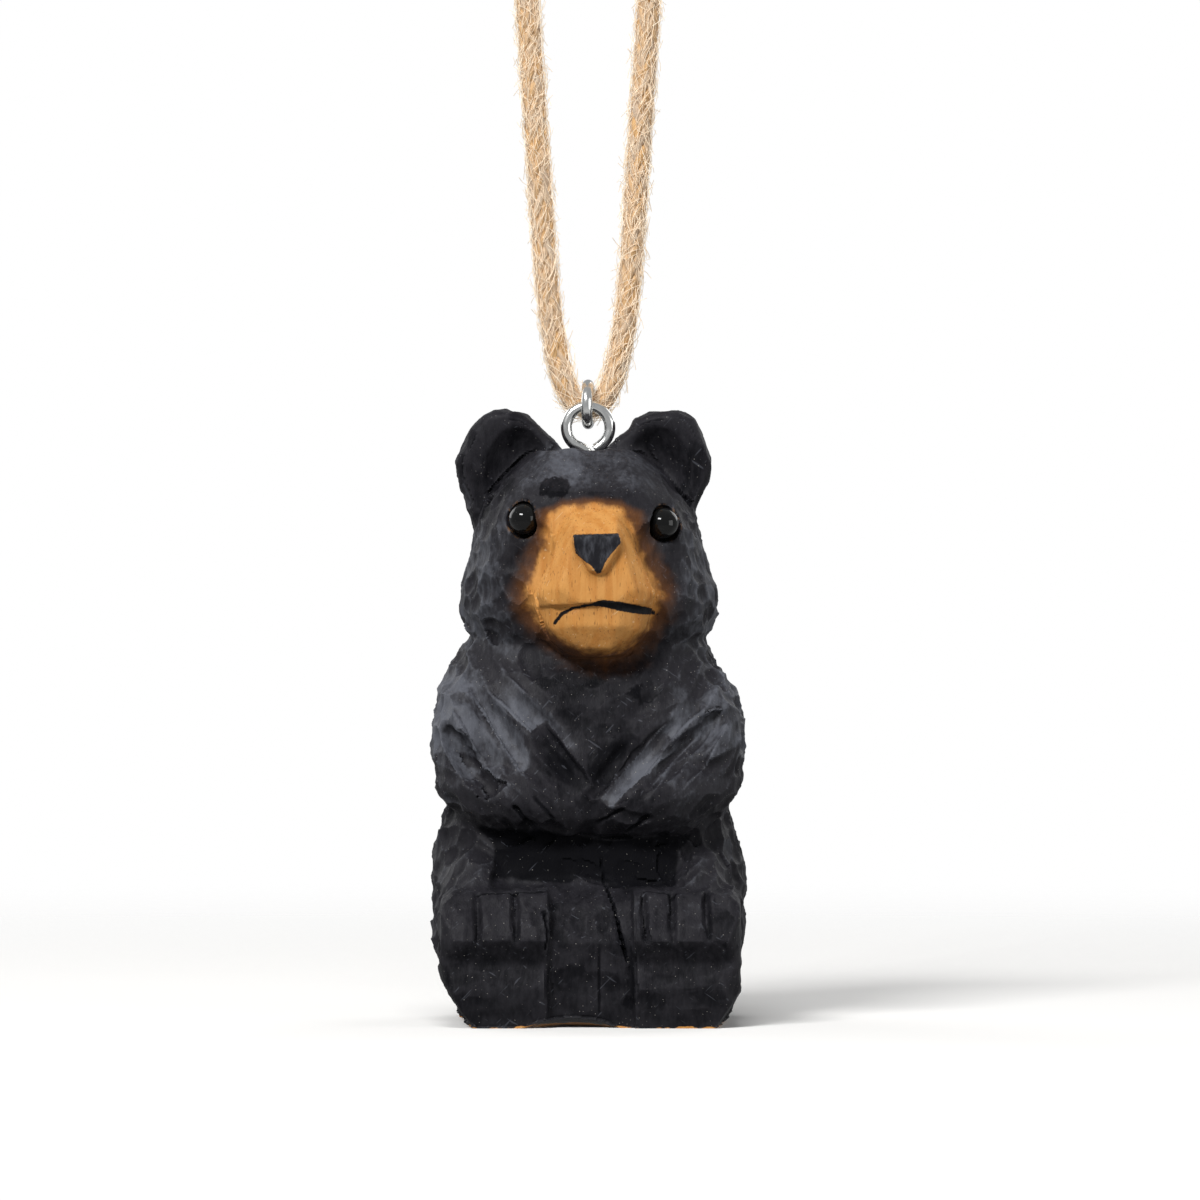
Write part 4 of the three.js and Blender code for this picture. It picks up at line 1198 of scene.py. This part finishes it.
class BEAR_OT_rings(bpy.types.Operator):
    """Bends the screw eye and the jump ring from wire"""

    bl_idname = "bear.rings"
    bl_label = "Screw eye and jump ring"

    def execute(self, context):
        settings = context.scene.bear_metal
        steel = plated_steel_material(settings)
        half = settings.wire / MM / 2
        low, high = box_of("screw_eye")
        reach = (high[0] - low[0]) / 2 - half
        height = high[2] - half - reach
        # The eye is round above and closes to the shank below, like a drop.
        start = math.radians(-52)
        turns = np.linspace(start, math.pi - start, 60)
        below = [(-0.35, height - reach * 1.05), (-0.02, height - reach - 0.9), (0, low[2])]
        arc = zip(reach * np.cos(turns), height + reach * np.sin(turns))
        route = [(0.75, height - reach * 1.02), *arc, *below]
        line = smooth_line([(x, 0.0, z) for x, z in route], 0.2)
        heights = [low[2], low[2] + 2, height - reach - 1]
        radii = half * np.interp(line[:, 2], heights, [0.25, 0.8, 1.0])
        finish_piece(wire("screw_eye_wire", line, radii, steel), "plated_steel", "screw_eye")

        half = settings.ring_wire / MM / 2
        low, high = box_of("jump_ring")
        middle = (low + high) / 2
        reach = (high[2] - low[2]) / 2 - half
        gap, cut = 0.035, -0.9  # half the cut where the ring was opened, and its place, low at the back
        turns = np.linspace(cut + gap, TURN + cut - gap, 90)
        skew = math.radians(4)  # it hangs a little askew
        sideways = reach * np.cos(turns)
        offsets = [sideways * math.sin(skew), sideways * math.cos(skew), reach * np.sin(turns)]
        line = middle + np.column_stack(offsets)
        finish_piece(wire("jump_ring_wire", line, half, steel), "plated_steel", "jump_ring")
        return {"FINISHED"}


class BEAR_PT_panel(bpy.types.Panel):
    bl_idname = "BEAR_PT_panel"
    bl_label = "Carved bear"
    bl_space_type = "VIEW_3D"
    bl_region_type = "UI"
    bl_category = "Bear"

    def draw(self, context):
        layout = self.layout
        for kind in OPERATORS:
            layout.operator(kind.bl_idname)
        for group in SETTINGS:
            box = layout.box()
            for name in SETTINGS[group].__annotations__:
                box.prop(getattr(context.scene, group), name)


OPERATORS = [BEAR_OT_stage, BEAR_OT_cord, BEAR_OT_carving, BEAR_OT_eyes, BEAR_OT_rings]
SETTINGS = {
    "bear_stage": BearStageSettings,
    "bear_cord": BearCordSettings,
    "bear_carving": BearCarvingSettings,
    "bear_metal": BearMetalSettings,
}


def register():
    for kind in [*SETTINGS.values(), *OPERATORS, BEAR_PT_panel]:
        bpy.utils.register_class(kind)
    for name, kind in SETTINGS.items():
        setattr(bpy.types.Scene, name, PointerProperty(type=kind))


def unregister():
    for name in SETTINGS:
        delattr(bpy.types.Scene, name)
    for kind in reversed([*SETTINGS.values(), *OPERATORS, BEAR_PT_panel]):
        bpy.utils.unregister_class(kind)


def main():
    register()
    for kind in OPERATORS:
        group, name = kind.bl_idname.split(".")
        getattr(getattr(bpy.ops, group), name)()


if __name__ == "__main__":
    main()
